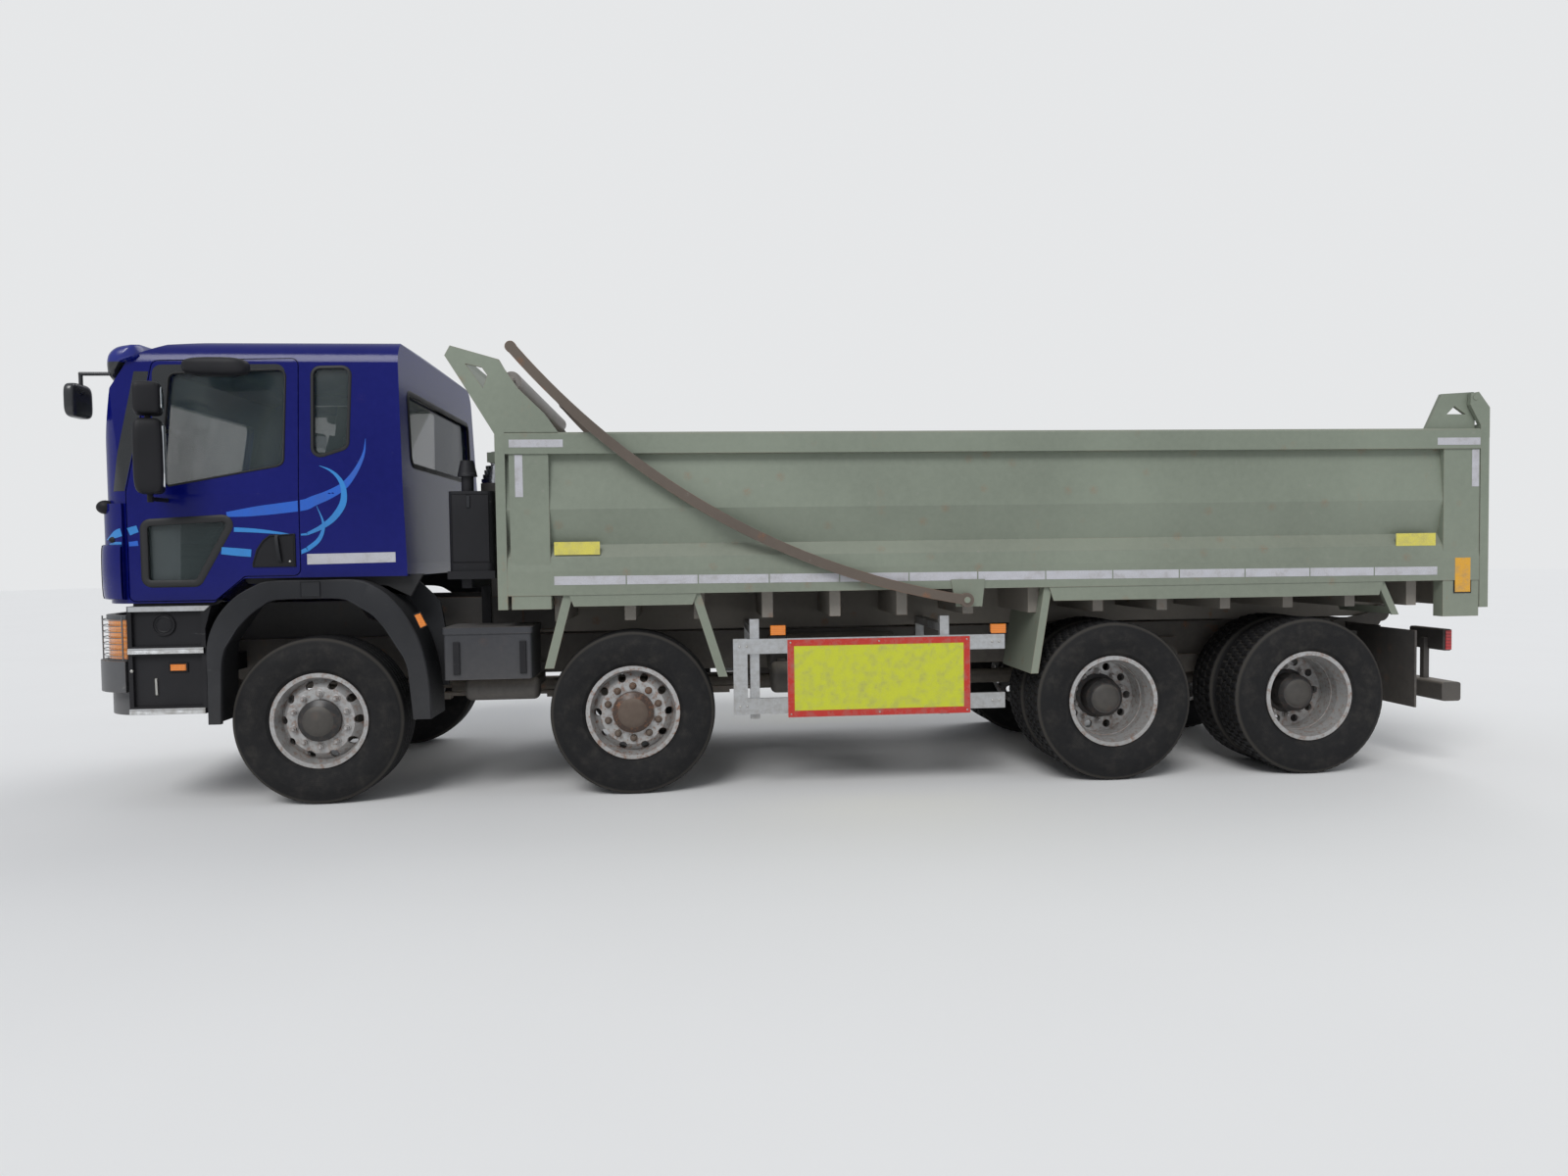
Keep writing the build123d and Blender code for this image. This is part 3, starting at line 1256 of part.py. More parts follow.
hand_hole_radius = 26
hand_hole_circle = 236
front_disc_section = [(110, 96), (208, 96), (256, 40), (256, 24), (240, 24), (196, 82), (110, 82)]
barrel_section = [(rim_radius - 14, -rim_width / 2 - 8), (flange_radius, -rim_width / 2 - 8), (flange_radius, -rim_width / 2 + 2),
                  (rim_radius, -rim_width / 2 + 14), (rim_radius - 22, -30), (rim_radius - 22, 30),
                  (rim_radius, rim_width / 2 - 14), (flange_radius, rim_width / 2 - 2), (flange_radius, rim_width / 2 + 8),
                  (rim_radius - 14, rim_width / 2 + 8), (rim_radius - 36, 40), (rim_radius - 36, -40)]
front_hub_section = [(spindle_radius + pin_gap, 75), (130, 75), (130, 128), (95, 150), (0, 156), (0, front_bore_depth),
                     (spindle_radius + pin_gap, front_bore_depth)]


def spun(sections, x):
    """Closed wheel sections turned about the axle's line and joined."""
    with BuildPart() as solid:
        for section in sections:
            with BuildSketch(level_plane(axle_z)):
                Polygon(*section, align=None)
            revolve(axis=Axis((x, 0, axle_z), (0, 1, 0)), revolution_arc=360)
    return solid.part


def bored(part, x, y, depth, circle, count, radius):
    """A wheel disc with its ring of holes, bored along the axle."""
    with BuildPart() as solid:
        add(part)
        with BuildSketch(side_plane(y)):
            with Locations((x, axle_z)):
                with PolarLocations(circle, count):
                    Circle(radius)
        extrude(amount=depth, mode=Mode.SUBTRACT)
    return solid.part


for axle, x in steered:
    tyre = spun([wheel_points(tyre_section, x, front_track_half)], x)
    rim = spun([wheel_points(section, x, front_track_half)
                for section in (barrel_section, front_disc_section, front_hub_section)], x)
    rim = bored(rim, x, -front_track_half - 10, 100, hand_hole_circle - 10, 10, hand_hole_radius)
    for side, label in ((-1, "near"), (1, "far")):
        for solid, name in ((tyre, "tyre"), (rim, "rim")):
            placed = solid if side < 0 else solid.mirror(Plane.XZ)
            keep(placed, f"{label}_{name}_{axle[-1]}")

# Twin wheels: both barrels, the two discs back to back between them, and the long hub
twin_disc_section = [(100, -16), (258, -16), (258, 16), (100, 16)]
twin_hub_section = [(spindle_radius + pin_gap, -120), (150, -120), (150, 20), (125, 30), (125, 140), (100, 165), (0, 170),
                    (0, hub_bore_depth), (spindle_radius + pin_gap, hub_bore_depth)]
bridge_section = [(246, -150), (262, -150), (262, 150), (246, 150)]
for number, x in ((3, axle_3_x), (4, axle_4_x)):
    twin_ys = (twin_outer_y, twin_inner_y)
    tyres = spun([wheel_points(tyre_section, x, y) for y in twin_ys], x)
    rims = spun([wheel_points(barrel_section, x, y) for y in twin_ys]
                + [wheel_points(section, x, twin_middle_y)
                   for section in (twin_disc_section, twin_hub_section, bridge_section)], x)
    rims = bored(rims, x, -twin_middle_y + 20, 60, 205, 10, hand_hole_radius)
    for side, label in ((-1, "near"), (1, "far")):
        for solid, name in ((tyres, "tyres"), (rims, "rims")):
            placed = solid if side < 0 else solid.mirror(Plane.XZ)
            keep(placed, f"{label}_{name}_{number}")
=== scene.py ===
import math
import bmesh
import bpy
import numpy as np
from mathutils import Matrix, Vector
from mathutils.bvhtree import BVHTree


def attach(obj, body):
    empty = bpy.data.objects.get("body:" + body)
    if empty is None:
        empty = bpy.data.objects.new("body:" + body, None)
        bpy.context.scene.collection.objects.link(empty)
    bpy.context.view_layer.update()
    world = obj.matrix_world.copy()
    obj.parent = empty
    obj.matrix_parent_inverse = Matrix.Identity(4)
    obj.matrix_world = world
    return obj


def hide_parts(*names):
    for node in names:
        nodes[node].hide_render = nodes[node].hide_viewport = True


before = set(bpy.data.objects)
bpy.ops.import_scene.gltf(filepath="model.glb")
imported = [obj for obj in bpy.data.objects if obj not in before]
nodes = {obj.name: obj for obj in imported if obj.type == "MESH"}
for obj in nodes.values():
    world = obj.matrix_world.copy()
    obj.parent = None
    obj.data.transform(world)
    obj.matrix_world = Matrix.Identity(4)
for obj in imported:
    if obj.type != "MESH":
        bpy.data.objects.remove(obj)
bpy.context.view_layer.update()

# The view: the camera stands about 6.6 m from the lorry's left side, near the cab's rear
# corner, a little above a standing eye's height. Its place and turn were fitted to the
# photograph's wheels and body edges, with a frame 1600 pixels wide and 1066 pixels of focal length.
eye = (-0.747, -7.854, 1.552)
yaw, pitch, roll = math.radians(4.820), math.radians(-2.105), math.radians(-0.786)
ahead = np.array([math.sin(yaw) * math.cos(pitch), math.cos(yaw) * math.cos(pitch), math.sin(pitch)])
level_right = np.array([math.cos(yaw), -math.sin(yaw), 0.0])
level_up = np.cross(level_right, ahead)
right = level_right * math.cos(roll) + level_up * math.sin(roll)
up = level_up * math.cos(roll) - level_right * math.sin(roll)
film_width, focal_pixels, frame_pixels = 36.0, 1066.14, 1600.0
optics = bpy.data.cameras.new("view")
optics.sensor_fit = "HORIZONTAL"
optics.sensor_width = film_width
optics.lens = film_width * focal_pixels / frame_pixels
optics.clip_end = 200.0
camera = bpy.data.objects.new("view", optics)
camera.matrix_world = Matrix(((right[0], up[0], -ahead[0], eye[0]), (right[1], up[1], -ahead[1], eye[1]),
                              (right[2], up[2], -ahead[2], eye[2]), (0, 0, 0, 1)))
bpy.context.scene.collection.objects.link(camera)
bpy.context.scene.camera = camera
bpy.context.scene.view_settings.view_transform = "Standard"


# The chassis: two folded channel rails with riveted cross-members, in a dark primer that grit has
# dulled and that rusts at its edges. The engine between them is cast iron, left as a block.
class Val:
    """A value on a shader socket. Arithmetic between values adds Math nodes to the same tree."""

    def __init__(self, tree, socket):
        self.tree = tree
        self.socket = socket

    def math(self, operation, *others, clamp=False):
        node = self.tree.nodes.new("ShaderNodeMath")
        node.operation = operation
        node.use_clamp = clamp
        for place, value in enumerate((self,) + others):
            if isinstance(value, Val):
                self.tree.links.new(value.socket, node.inputs[place])
            else:
                node.inputs[place].default_value = value
        return Val(self.tree, node.outputs[0])

    def __add__(self, other):
        return self.math("ADD", other)

    __radd__ = __add__

    def __sub__(self, other):
        return self.math("SUBTRACT", other)

    def __rsub__(self, other):
        return self.math("MULTIPLY", -1.0).math("ADD", other)

    def __mul__(self, other):
        return self.math("MULTIPLY", other)

    __rmul__ = __mul__

    def __truediv__(self, other):
        return self.math("DIVIDE", other)

    def step(self, low, high):
        """0 below low, 1 above high, and a straight ramp between; low may be the greater."""
        return ((self - low) / (high - low)).math("ADD", 0.0, clamp=True)

    def low(self, other):
        return self.math("MINIMUM", other)

    def high(self, other):
        return self.math("MAXIMUM", other)

    def wave(self, per_metre):
        """A sine from 0 to 1 with so many waves a unit."""
        return self.math("MULTIPLY", per_metre * 2 * math.pi).math("SINE") * 0.5 + 0.5


class Finish:
    """A finish being mixed. node() adds any shader node, and coat() puts the result on the surface."""

    def __init__(self, name):
        self.material = bpy.data.materials.new(name)
        self.material.use_nodes = True
        self.tree = self.material.node_tree
        self.tree.nodes.clear()
        self.places = {}

    def node(self, kind, settings=None, values=None, out=0):
        node = self.tree.nodes.new(kind)
        for key, value in (settings or {}).items():
            setattr(node, key, value)
        for key, value in (values or {}).items():
            socket = node.inputs[key]
            if isinstance(value, Val):
                self.tree.links.new(value.socket, socket)
            else:
                socket.default_value = value
        return Val(self.tree, node.outputs[out]) if node.outputs else None

    def place(self, source="Object"):
        if source not in self.places:
            self.places[source] = self.node("ShaderNodeTexCoord", out=source)
        return self.places[source]

    def axes(self, source="Object"):
        split = self.node("ShaderNodeSeparateXYZ", values={0: self.place(source)})
        return [Val(self.tree, split.socket.node.outputs[k]) for k in range(3)]

    def cloud(self, scale, detail=4.0, rough=0.55, stretch=(1, 1, 1), shift=(0, 0, 0), source="Object"):
        """Soft noise about 0.5, with so many lumps a metre, stretched and moved as asked."""
        place = self.node("ShaderNodeMapping",
                          values={"Vector": self.place(source), "Location": shift, "Scale": stretch})
        return self.node("ShaderNodeTexNoise", values={"Vector": place, "Scale": scale, "Detail": detail,
                                                       "Roughness": rough})

    def spots(self, scale, size, soft=0.08, shift=(0, 0, 0)):
        """Round spots: 1 near scattered points and 0 past size, counted in cells."""
        place = self.node("ShaderNodeMapping", values={"Vector": self.place(), "Location": shift})
        gap = self.node("ShaderNodeTexVoronoi", values={"Vector": place, "Scale": scale}, out="Distance")
        return gap.step(size + soft, size)

    def up_facing(self):
        """1 where the surface looks up, 0 where it is upright or looks down."""
        normal = self.node("ShaderNodeNewGeometry", out="Normal")
        split = self.node("ShaderNodeSeparateXYZ", values={0: normal}, out=2)
        return split.step(0.25, 0.85)

    def edges(self, reach):
        """1 along corners that stand or lie within reach, 0 on flat ground."""
        eased = self.node("ShaderNodeBevel", {"samples": 4}, {"Radius": reach})
        plain = self.node("ShaderNodeNewGeometry", out="Normal")
        dot = self.node("ShaderNodeVectorMath", {"operation": "DOT_PRODUCT"}, {0: eased, 1: plain}, out="Value")
        return dot.step(0.995, 0.86)

    def mix(self, mask, first, second):
        """first where mask is 0, second where it is 1; each a colour or a mixed colour."""
        values = {"Factor": mask}
        for key, colour in ((6, first), (7, second)):
            values[key] = colour if isinstance(colour, Val) else (*colour, 1.0)
        return self.node("ShaderNodeMix", {"data_type": "RGBA"}, values, out=2)

    def coat(self, colour, roughness, metallic=0.0, relief=None, relief_depth=0.001, **fixed):
        """Closes the finish: colour, roughness and metallic may vary, relief is a height for the bump."""
        values = {"Base Color": colour if isinstance(colour, Val) else (*colour, 1.0), "Roughness": roughness,
                  "Metallic": metallic}
        values.update({key.replace("_", " "): value for key, value in fixed.items()})
        if relief is not None:
            values["Normal"] = self.node("ShaderNodeBump", values={"Distance": relief_depth, "Height": relief})
        shader = self.node("ShaderNodeBsdfPrincipled", values=values)
        self.node("ShaderNodeOutputMaterial", values={"Surface": shader})
        return self.material


def tinted(colour, gain, lift=0.0):
    """The colour with each channel times gain, plus lift."""
    return tuple(c * gain + lift for c in colour)


def worn_metal(name, colour, gloss, dust=0.5, rust=0.3, chips=0.3, coat=0.0, dust_colour=(0.33, 0.29, 0.24),
               low_dirt=1.2, shine=0.45, scoured_where=None):
    """Painted steel: cloudy colour, grey dust on what looks up and near the road, rust in spots and on corners."""
    f = Finish(name)
    x, y, z = f.axes()
    broad = f.cloud(0.9, 3, 0.5)
    fine = f.cloud(24.0, 5, 0.65)
    grit = f.cloud(150.0, 3, 0.6)
    runs = f.cloud(5.0, 4, 0.6, stretch=(1.0, 1.0, 0.12), shift=(3.1, 0.7, 0.0))
    shade = f.mix(broad.step(0.3, 0.7), tinted(colour, 0.86), tinted(colour, 1.12, 0.004))
    shade = f.mix(fine.step(0.35, 0.75) * 0.18, shade, tinted(colour, 1.5, 0.006))
    settled = (f.up_facing() * 0.8 + z.step(low_dirt, 0.2) * 0.75 + 0.06) * dust
    settled = (settled * (fine * 0.9 + runs * 0.6 + 0.25)).math("ADD", 0.0, clamp=True)
    shade = f.mix(settled, shade, dust_colour)
    corner = f.edges(0.006)
    bare = ((corner * fine.step(0.42, 0.60)) * chips + f.spots(9.0, 0.05) * fine.step(0.5, 0.62) * chips).low(1.0)
    if scoured_where:
        bare = bare.high(scoured_where(x, y, z) * runs.step(0.15, 0.5))
    brown = ((runs.step(0.62, 0.74) * fine.step(0.5, 0.7)
              + f.spots(5.0, 0.07, 0.12, (1.7, 0, 0.4)) * grit.step(0.4, 0.6)
              + corner * broad.step(0.45, 0.62)) * rust).low(1.0)
    shade = f.mix(bare, shade, (0.30, 0.28, 0.26))
    shade = f.mix(brown, shade, f.mix(grit.step(0.3, 0.7), (0.16, 0.055, 0.022), (0.36, 0.15, 0.06)))
    rough = (settled * 0.35 + brown * 0.4 + fine * 0.12 + gloss).low(0.95)
    return f.coat(shade, rough, relief=fine * 0.4 + grit * 0.25 - bare * 0.6 + brown * 0.9, relief_depth=0.0012,
                  Coat_Weight=coat, Coat_Roughness=0.12, Specular_IOR_Level=shine)


def dress(material, *names):
    """Gives CAD nodes their finish."""
    for name in names:
        mesh = nodes[name].data
        mesh.materials.clear()
        mesh.materials.append(material)


frame_paint = worn_metal("frame_primer", (0.055, 0.052, 0.050), 0.5, dust=0.75, rust=0.55, chips=0.3)
dress(frame_paint, "chassis_frame", "front_suspension", "rear_suspension", "near_knuckle_1", "near_knuckle_2",
      "far_knuckle_1", "far_knuckle_2", "track_rod_1", "track_rod_2", "ram_cover")
iron = worn_metal("cast_engine", (0.10, 0.10, 0.098), 0.55, dust=0.8, rust=0.5, chips=0.1)
dress(iron, "engine_block")


# The tyres: black radial tyres of 1.05 m, ribbed on the steered axles and block-patterned on the
# driven ones, their treads moulded 13 to 15 mm deep. Grey road dust lies on the sidewalls.
axle_places = {1: -3.100, 2: -1.160, 3: 1.983, 4: 3.333}
wheel_z = 0.525
single_y, twin_outer_y, twin_inner_y = 1.030, 1.085, 0.735  # the tyres' middles from the lorry's centre plane
sides = (("near", -1.0), ("far", 1.0))  # a side's name and the sign that outboard has on Y
wall_profile = [(0.2868, 0.1035), (0.3000, 0.1175), (0.3180, 0.1290), (0.3210, 0.1330), (0.3480, 0.1400),
                (0.3800, 0.1490), (0.4050, 0.1520), (0.4350, 0.1515), (0.4600, 0.1495), (0.4640, 0.1470),
                (0.4850, 0.1450), (0.4960, 0.1405), (0.5080, 0.1330), (0.5185, 0.1240)]


def grid_faces(rows, columns, wrap_rows, wrap_columns, start):
    """Quads of a grid of points, as an array of four numbers a face; a wrapped side joins back to its start."""
    i = np.arange(rows if wrap_rows else rows - 1)[:, None]
    j = np.arange(columns if wrap_columns else columns - 1)[None, :]
    i2, j2 = (i + 1) % rows, (j + 1) % columns
    quads = np.stack([i * columns + j, i2 * columns + j, i2 * columns + j2, i * columns + j2], -1)
    return quads.reshape(-1, 4) + start


def piece(name, grids, finish, body, replaces=(), bend=35.0, uv=None):
    """A mesh from grids, each (points[rows, columns, 3], wrap rows, wrap columns), welded where they meet. It
    rides on a body and takes a slot; uv, where given, is each point's place on the pattern."""
    points, quads, start = [], [], 0
    for grid, wrap_rows, wrap_columns in grids:
        rows, columns = grid.shape[:2]
        points.append(grid.reshape(-1, 3))
        quads.append(grid_faces(rows, columns, wrap_rows, wrap_columns, start))
        start += rows * columns
    points, quads = np.concatenate(points), np.concatenate(quads)
    mesh = bpy.data.meshes.new(name)
    mesh.from_pydata(points, [], quads)
    if uv is not None:
        layer = mesh.uv_layers.new(name="turn")
        layer.data.foreach_set("uv", uv[quads.reshape(-1)].astype(np.float32).ravel())
    work = bmesh.new()
    work.from_mesh(mesh)
    if uv is None:
        bmesh.ops.remove_doubles(work, verts=work.verts, dist=1e-5)
    bmesh.ops.dissolve_degenerate(work, edges=work.edges, dist=1e-6)
    bmesh.ops.recalc_face_normals(work, faces=work.faces)
    work.to_mesh(mesh)
    work.free()
    mesh.polygons.foreach_set("use_smooth", np.ones(len(mesh.polygons), bool))
    mesh.set_sharp_from_angle(angle=math.radians(bend))
    made = bpy.data.objects.new(name, mesh)
    bpy.context.scene.collection.objects.link(made)
    mesh.materials.append(finish)
    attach(made, body)
    if replaces:
        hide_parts(*replaces)
    return made


def full_turn(count):
    """So many angles evenly round a whole turn, from 0."""
    return np.linspace(0, 2 * math.pi, count, endpoint=False)


def crown(across):
    """The tread's radius: 525 mm, less 2.2 mm at 120 mm from the middle, as the square of the distance."""
    return 0.525 - 0.0022 * (across / 0.12) ** 2


def ribbed_tread(angle, zigzags=70):
    """Ribs between four zigzag grooves: for each angle, radius and place across the tread.
    Each groove has four lines of points, its two brinks and the two corners of its floor."""
    brinks = []
    for middle in (-0.072, -0.026, 0.026, 0.072):
        brinks += [(middle - 0.0070, 0.0), (middle - 0.0045, 0.013), (middle + 0.0045, 0.013), (middle + 0.0070, 0.0)]
    brinks = np.array([(-0.1185, 0.0015)] + brinks + [(0.1185, 0.0015)])
    zig = 0.0030 * (2 / math.pi) * np.arcsin(np.sin(angle * zigzags))
    zig = zig * (np.abs(brinks[None, :, 0]) < 0.1)
    return np.broadcast_to(crown(brinks[:, 0]) - brinks[:, 1], (len(angle), len(brinks))), brinks[None, :, 0] + zig


def block_tread(angle, pitches=56):
    """Blocks in four rows: two straight grooves and a centre one run round, and slots cross the rows,
    each row's slots half a pitch on from the next. A slot is where the turn within the pitch passes 0.72."""
    across = np.array([-0.1195, -0.1180, -0.0640, -0.0610, -0.0530, -0.0500, -0.0050, -0.0025, 0.0025, 0.0050, 0.0500,
                       0.0530, 0.0610, 0.0640, 0.1180, 0.1195])
    groove = np.array([0, 0, 0, 1, 1, 0, 0, 1, 1, 0, 0, 1, 1, 0, 0, 0], float)
    row_shift = np.array([0.0, 0.0, 0.0, 0.25, 0.25, 0.5, 0.5, 0.25, 0.25, 0.0, 0.0, 0.25, 0.25, 0.5, 0.5, 0.5])
    turn = (angle * pitches / (2 * math.pi) + row_shift[None, :] + 2.2 * across[None, :]) % 1.0
    slot = np.clip((turn - 0.72) / 0.06, 0, 1) * np.clip((1.0 - turn) / 0.06, 0, 1)
    depth = 0.015 * np.maximum(groove[None, :], slot)
    return crown(across) - depth, np.broadcast_to(across, turn.shape)


def tyre_grid(x, y_middle, outward, tread, steps):
    """The tyre as rings round the axle: inner wall, tread, outer wall, and the bead seat that closes it."""
    angle = full_turn(steps)[:, None]
    tread_r, tread_y = tread(angle)
    wall = np.array(wall_profile)
    wide = np.ones((steps, 1))
    radius = np.concatenate([wide * wall[None, :, 0], tread_r, wide * wall[None, ::-1, 0]], 1)
    across = np.concatenate([wide * -wall[None, :, 1], tread_y, wide * wall[None, ::-1, 1]], 1)
    return np.stack([x + radius * np.cos(angle), y_middle + outward * across, wheel_z + radius * np.sin(angle)], -1)


def tyre_finish(name):
    """Rubber: near black, greyed by dust on the walls and in the grooves, with fine moulded rings."""
    f = Finish(name)
    radius = f.axes("UV")[1]
    fine = f.cloud(40.0, 4, 0.6)
    broad = f.cloud(4.0, 3, 0.5)
    patch = f.cloud(11.0, 5, 0.65, shift=(2.0, 0, 0))
    wall = radius.step(0.50, 0.465)
    ring = radius.wave(90.0) * radius.step(0.34, 0.36) * radius.step(0.47, 0.44)
    floor = radius.step(0.520, 0.513) * radius.step(0.495, 0.507)
    dust = (wall * patch.step(0.45, 0.85) * 0.26 + floor * 0.45 + broad * 0.04
            + patch.step(0.55, 0.7) * 0.07).low(1.0)
    colour = f.mix(dust, f.mix(fine, (0.006, 0.006, 0.007), (0.014, 0.014, 0.015)), (0.085, 0.077, 0.066))
    return f.coat(colour, dust * 0.2 + 0.66 + fine * 0.08, relief=ring * 0.5 + fine * 0.35, relief_depth=0.0012,
                  Specular_IOR_Level=0.25)


rubber_ribbed = tyre_finish("road_tyre_rubber")
rubber_block = tyre_finish("drive_tyre_rubber")


def radius_uv(grids, x):
    """Each point's share of a turn and its distance from the axle, as its place on the pattern."""
    flat = np.concatenate([g.reshape(-1, 3) for g in grids])
    away = flat - np.array([x, 0, wheel_z])
    return np.stack([np.arctan2(away[:, 2], away[:, 0]) / (2 * math.pi), np.hypot(away[:, 0], away[:, 2])], -1)


for side, outward in sides:
    for number in (1, 2):
        x = axle_places[number]
        grid = tyre_grid(x, outward * single_y, outward, ribbed_tread, 280)
        piece(f"{side}_tyre_{number}_ribbed", [(grid, True, True)], rubber_ribbed, f"{side}_wheel_{number}",
              [f"{side}_tyre_{number}"], bend=28, uv=radius_uv([grid], x))
    for number in (3, 4):
        x = axle_places[number]
        for place, middle, steps in (("outer", twin_outer_y, 448), ("inner", twin_inner_y, 224)):
            grid = tyre_grid(x, outward * middle, outward, block_tread, steps)
            piece(f"{side}_tyre_{number}_{place}", [(grid, True, True)], rubber_block, f"{side}_wheels_{number}",
                  [f"{side}_tyres_{number}"] if place == "outer" else (), bend=28, uv=radius_uv([grid], x))


# The wheels: pressed steel discs in silver paint, thick with brake dust, held by ten nuts on a 335 mm
# circle. The hubs stand out through them; the second axle's has lost its black paint and rusted.
def turned(profile, centre, outward, count=48):
    """A profile of (radius, distance outboard) turned about a line along Y through centre; closed on its own ends."""
    profile = np.asarray(profile, float)
    angle = full_turn(count)[:, None]
    radius = profile[None, :, 0] * np.ones((count, 1))
    outboard = np.broadcast_to(profile[None, :, 1], radius.shape)
    return (np.stack([centre[0] + radius * np.cos(angle), centre[1] + outward * outboard,
                      centre[2] + radius * np.sin(angle)], -1), True, False)


def wheel_paint(name, rust, axle_x, hub_radius, hub_colour):
    """Silver paint with dirt and rust over it, and the hub's own colour within hub_radius of the axle."""
    f = Finish(name)
    x, y, z = f.axes()
    away = ((x - axle_x) * (x - axle_x) + (z - wheel_z) * (z - wheel_z)).math("SQRT")
    hub = away.step(hub_radius + 0.002, hub_radius)
    fine = f.cloud(30.0, 5, 0.65)
    broad = f.cloud(3.0, 3, 0.5)
    grit = f.cloud(140.0, 3, 0.6)
    pits = f.spots(26.0, 0.10, 0.1)
    shade = f.mix(hub, f.mix(broad, (0.40, 0.405, 0.41), (0.56, 0.56, 0.555)), hub_colour)
    dirt = (fine.step(0.35, 0.75) * 0.55 + z.step(0.75, 0.25) * 0.2).low(1.0) * (1.0 - hub * 0.75)
    shade = f.mix(dirt, shade, (0.20, 0.175, 0.15))
    brown = ((fine.step(0.52, 0.66) + pits * 0.8 + f.edges(0.004) * 0.8) * rust).low(1.0)
    brown = brown * (1.0 - hub * (0.75 if rust < 0.6 else 0.0))
    shade = f.mix(brown, shade, f.mix(grit.step(0.3, 0.7), (0.15, 0.055, 0.025), (0.33, 0.14, 0.06)))
    return f.coat(shade, (dirt * 0.2 + brown * 0.35 + 0.34).low(0.95),
                  metallic=(0.55 - dirt * 0.4 - brown * 0.1 - hub * 0.4).high(0.0),
                  relief=fine * 0.3 + grit * 0.3 + brown, relief_depth=0.0009)


for number, rims, rust, hub_radius, hub_colour in ((1, "rim", 0.40, 0.131, (0.022, 0.022, 0.023)),
                                                   (2, "rim", 0.65, 0.131, (0.060, 0.036, 0.026)),
                                                   (3, "rims", 0.45, 0.151, (0.030, 0.030, 0.031)),
                                                   (4, "rims", 0.45, 0.151, (0.030, 0.030, 0.031))):
    silver = wheel_paint(f"wheel_silver_{number}", rust, axle_places[number], hub_radius, hub_colour)
    dress(silver, f"near_{rims}_{number}", f"far_{rims}_{number}")
twin_y = 0.910  # the face that the twin discs share, half way between their tyres
hub_black = worn_metal("hub_black", (0.020, 0.020, 0.021), 0.42, dust=0.25, rust=0.15, chips=0.1)
hub_rust = worn_metal("hub_rusted", (0.070, 0.042, 0.030), 0.7, dust=0.3, rust=0.6, chips=0.1)


def wheel_nuts(x, y_face, outward, circle=0.1675, count=10, across_flats=0.033, height=0.024, points=12):
    """Nuts on a circle: each a six-sided nut with eased corners on a round flange, and the stud's domed end."""
    grids = []
    corner = full_turn(points)
    hexagon = (across_flats / 2) / np.maximum.reduce([np.abs(np.cos(corner - k * math.pi / 3)) for k in range(3)])
    rings = [(0.0, 0.0), (0.024, 0.0), (0.024, 0.004), (0.0195, 0.006), (1.0, 0.006), (1.0, height - 0.002),
        (0.94, height), (0.0115, height), (0.0115, height + 0.010), (0.008, height + 0.014), (0.0, height + 0.015)]
    for k in range(count):
        turn = 2 * math.pi * (k + 0.5) / count
        cx, cz = x + circle * math.cos(turn), wheel_z + circle * math.sin(turn)
        radius = np.stack([r * hexagon if r > 0.5 else np.full(points, r) for r, _ in rings])
        out = np.array([o for _, o in rings])[:, None] * np.ones((1, points))
        grids.append((np.stack([cx + radius * np.cos(corner), y_face + outward * out,
                                cz + radius * np.sin(corner)], -1), False, True))
    return grids


for side, outward in sides:
    for number in (1, 2, 3, 4):
        x = axle_places[number]
        front = number < 3
        body = f"{side}_wheel_{number}" if front else f"{side}_wheels_{number}"
        face = outward * (single_y + 0.096 if front else twin_y + 0.0165)
        hub_end = outward * (single_y + 0.158 if front else twin_y + 0.172)
        nut_finish = hub_rust if number == 2 else silver
        piece(f"{side}_wheel_nuts_{number}", wheel_nuts(x, face, outward), nut_finish, body, bend=30)
        cap = [(0.0, 0.012), (0.020, 0.012), (0.030, 0.009), (0.062, 0.007), (0.080, 0.001), (0.092, -0.006),
               (0.100, -0.012), (0.100, -0.020), (0.0, -0.020)]
        piece(f"{side}_hub_cap_{number}", [turned(cap, (x, hub_end, wheel_z), outward, 40)],
              hub_rust if number == 2 else hub_black, body, bend=30)


# The cab's panels: pressed and welded steel in deep blue gloss, washed but dusty low down. The
# doors, the shell and the nose panel share the paint.
blue = worn_metal("cab_blue", (0.0012, 0.0040, 0.130), 0.12, dust=0.05, rust=0.02, chips=0.04, coat=0.12,
                  dust_colour=(0.10, 0.10, 0.15), low_dirt=1.5, shine=0.22)
dress(blue, "cab_shell", "near_door", "far_door", "cab_front")


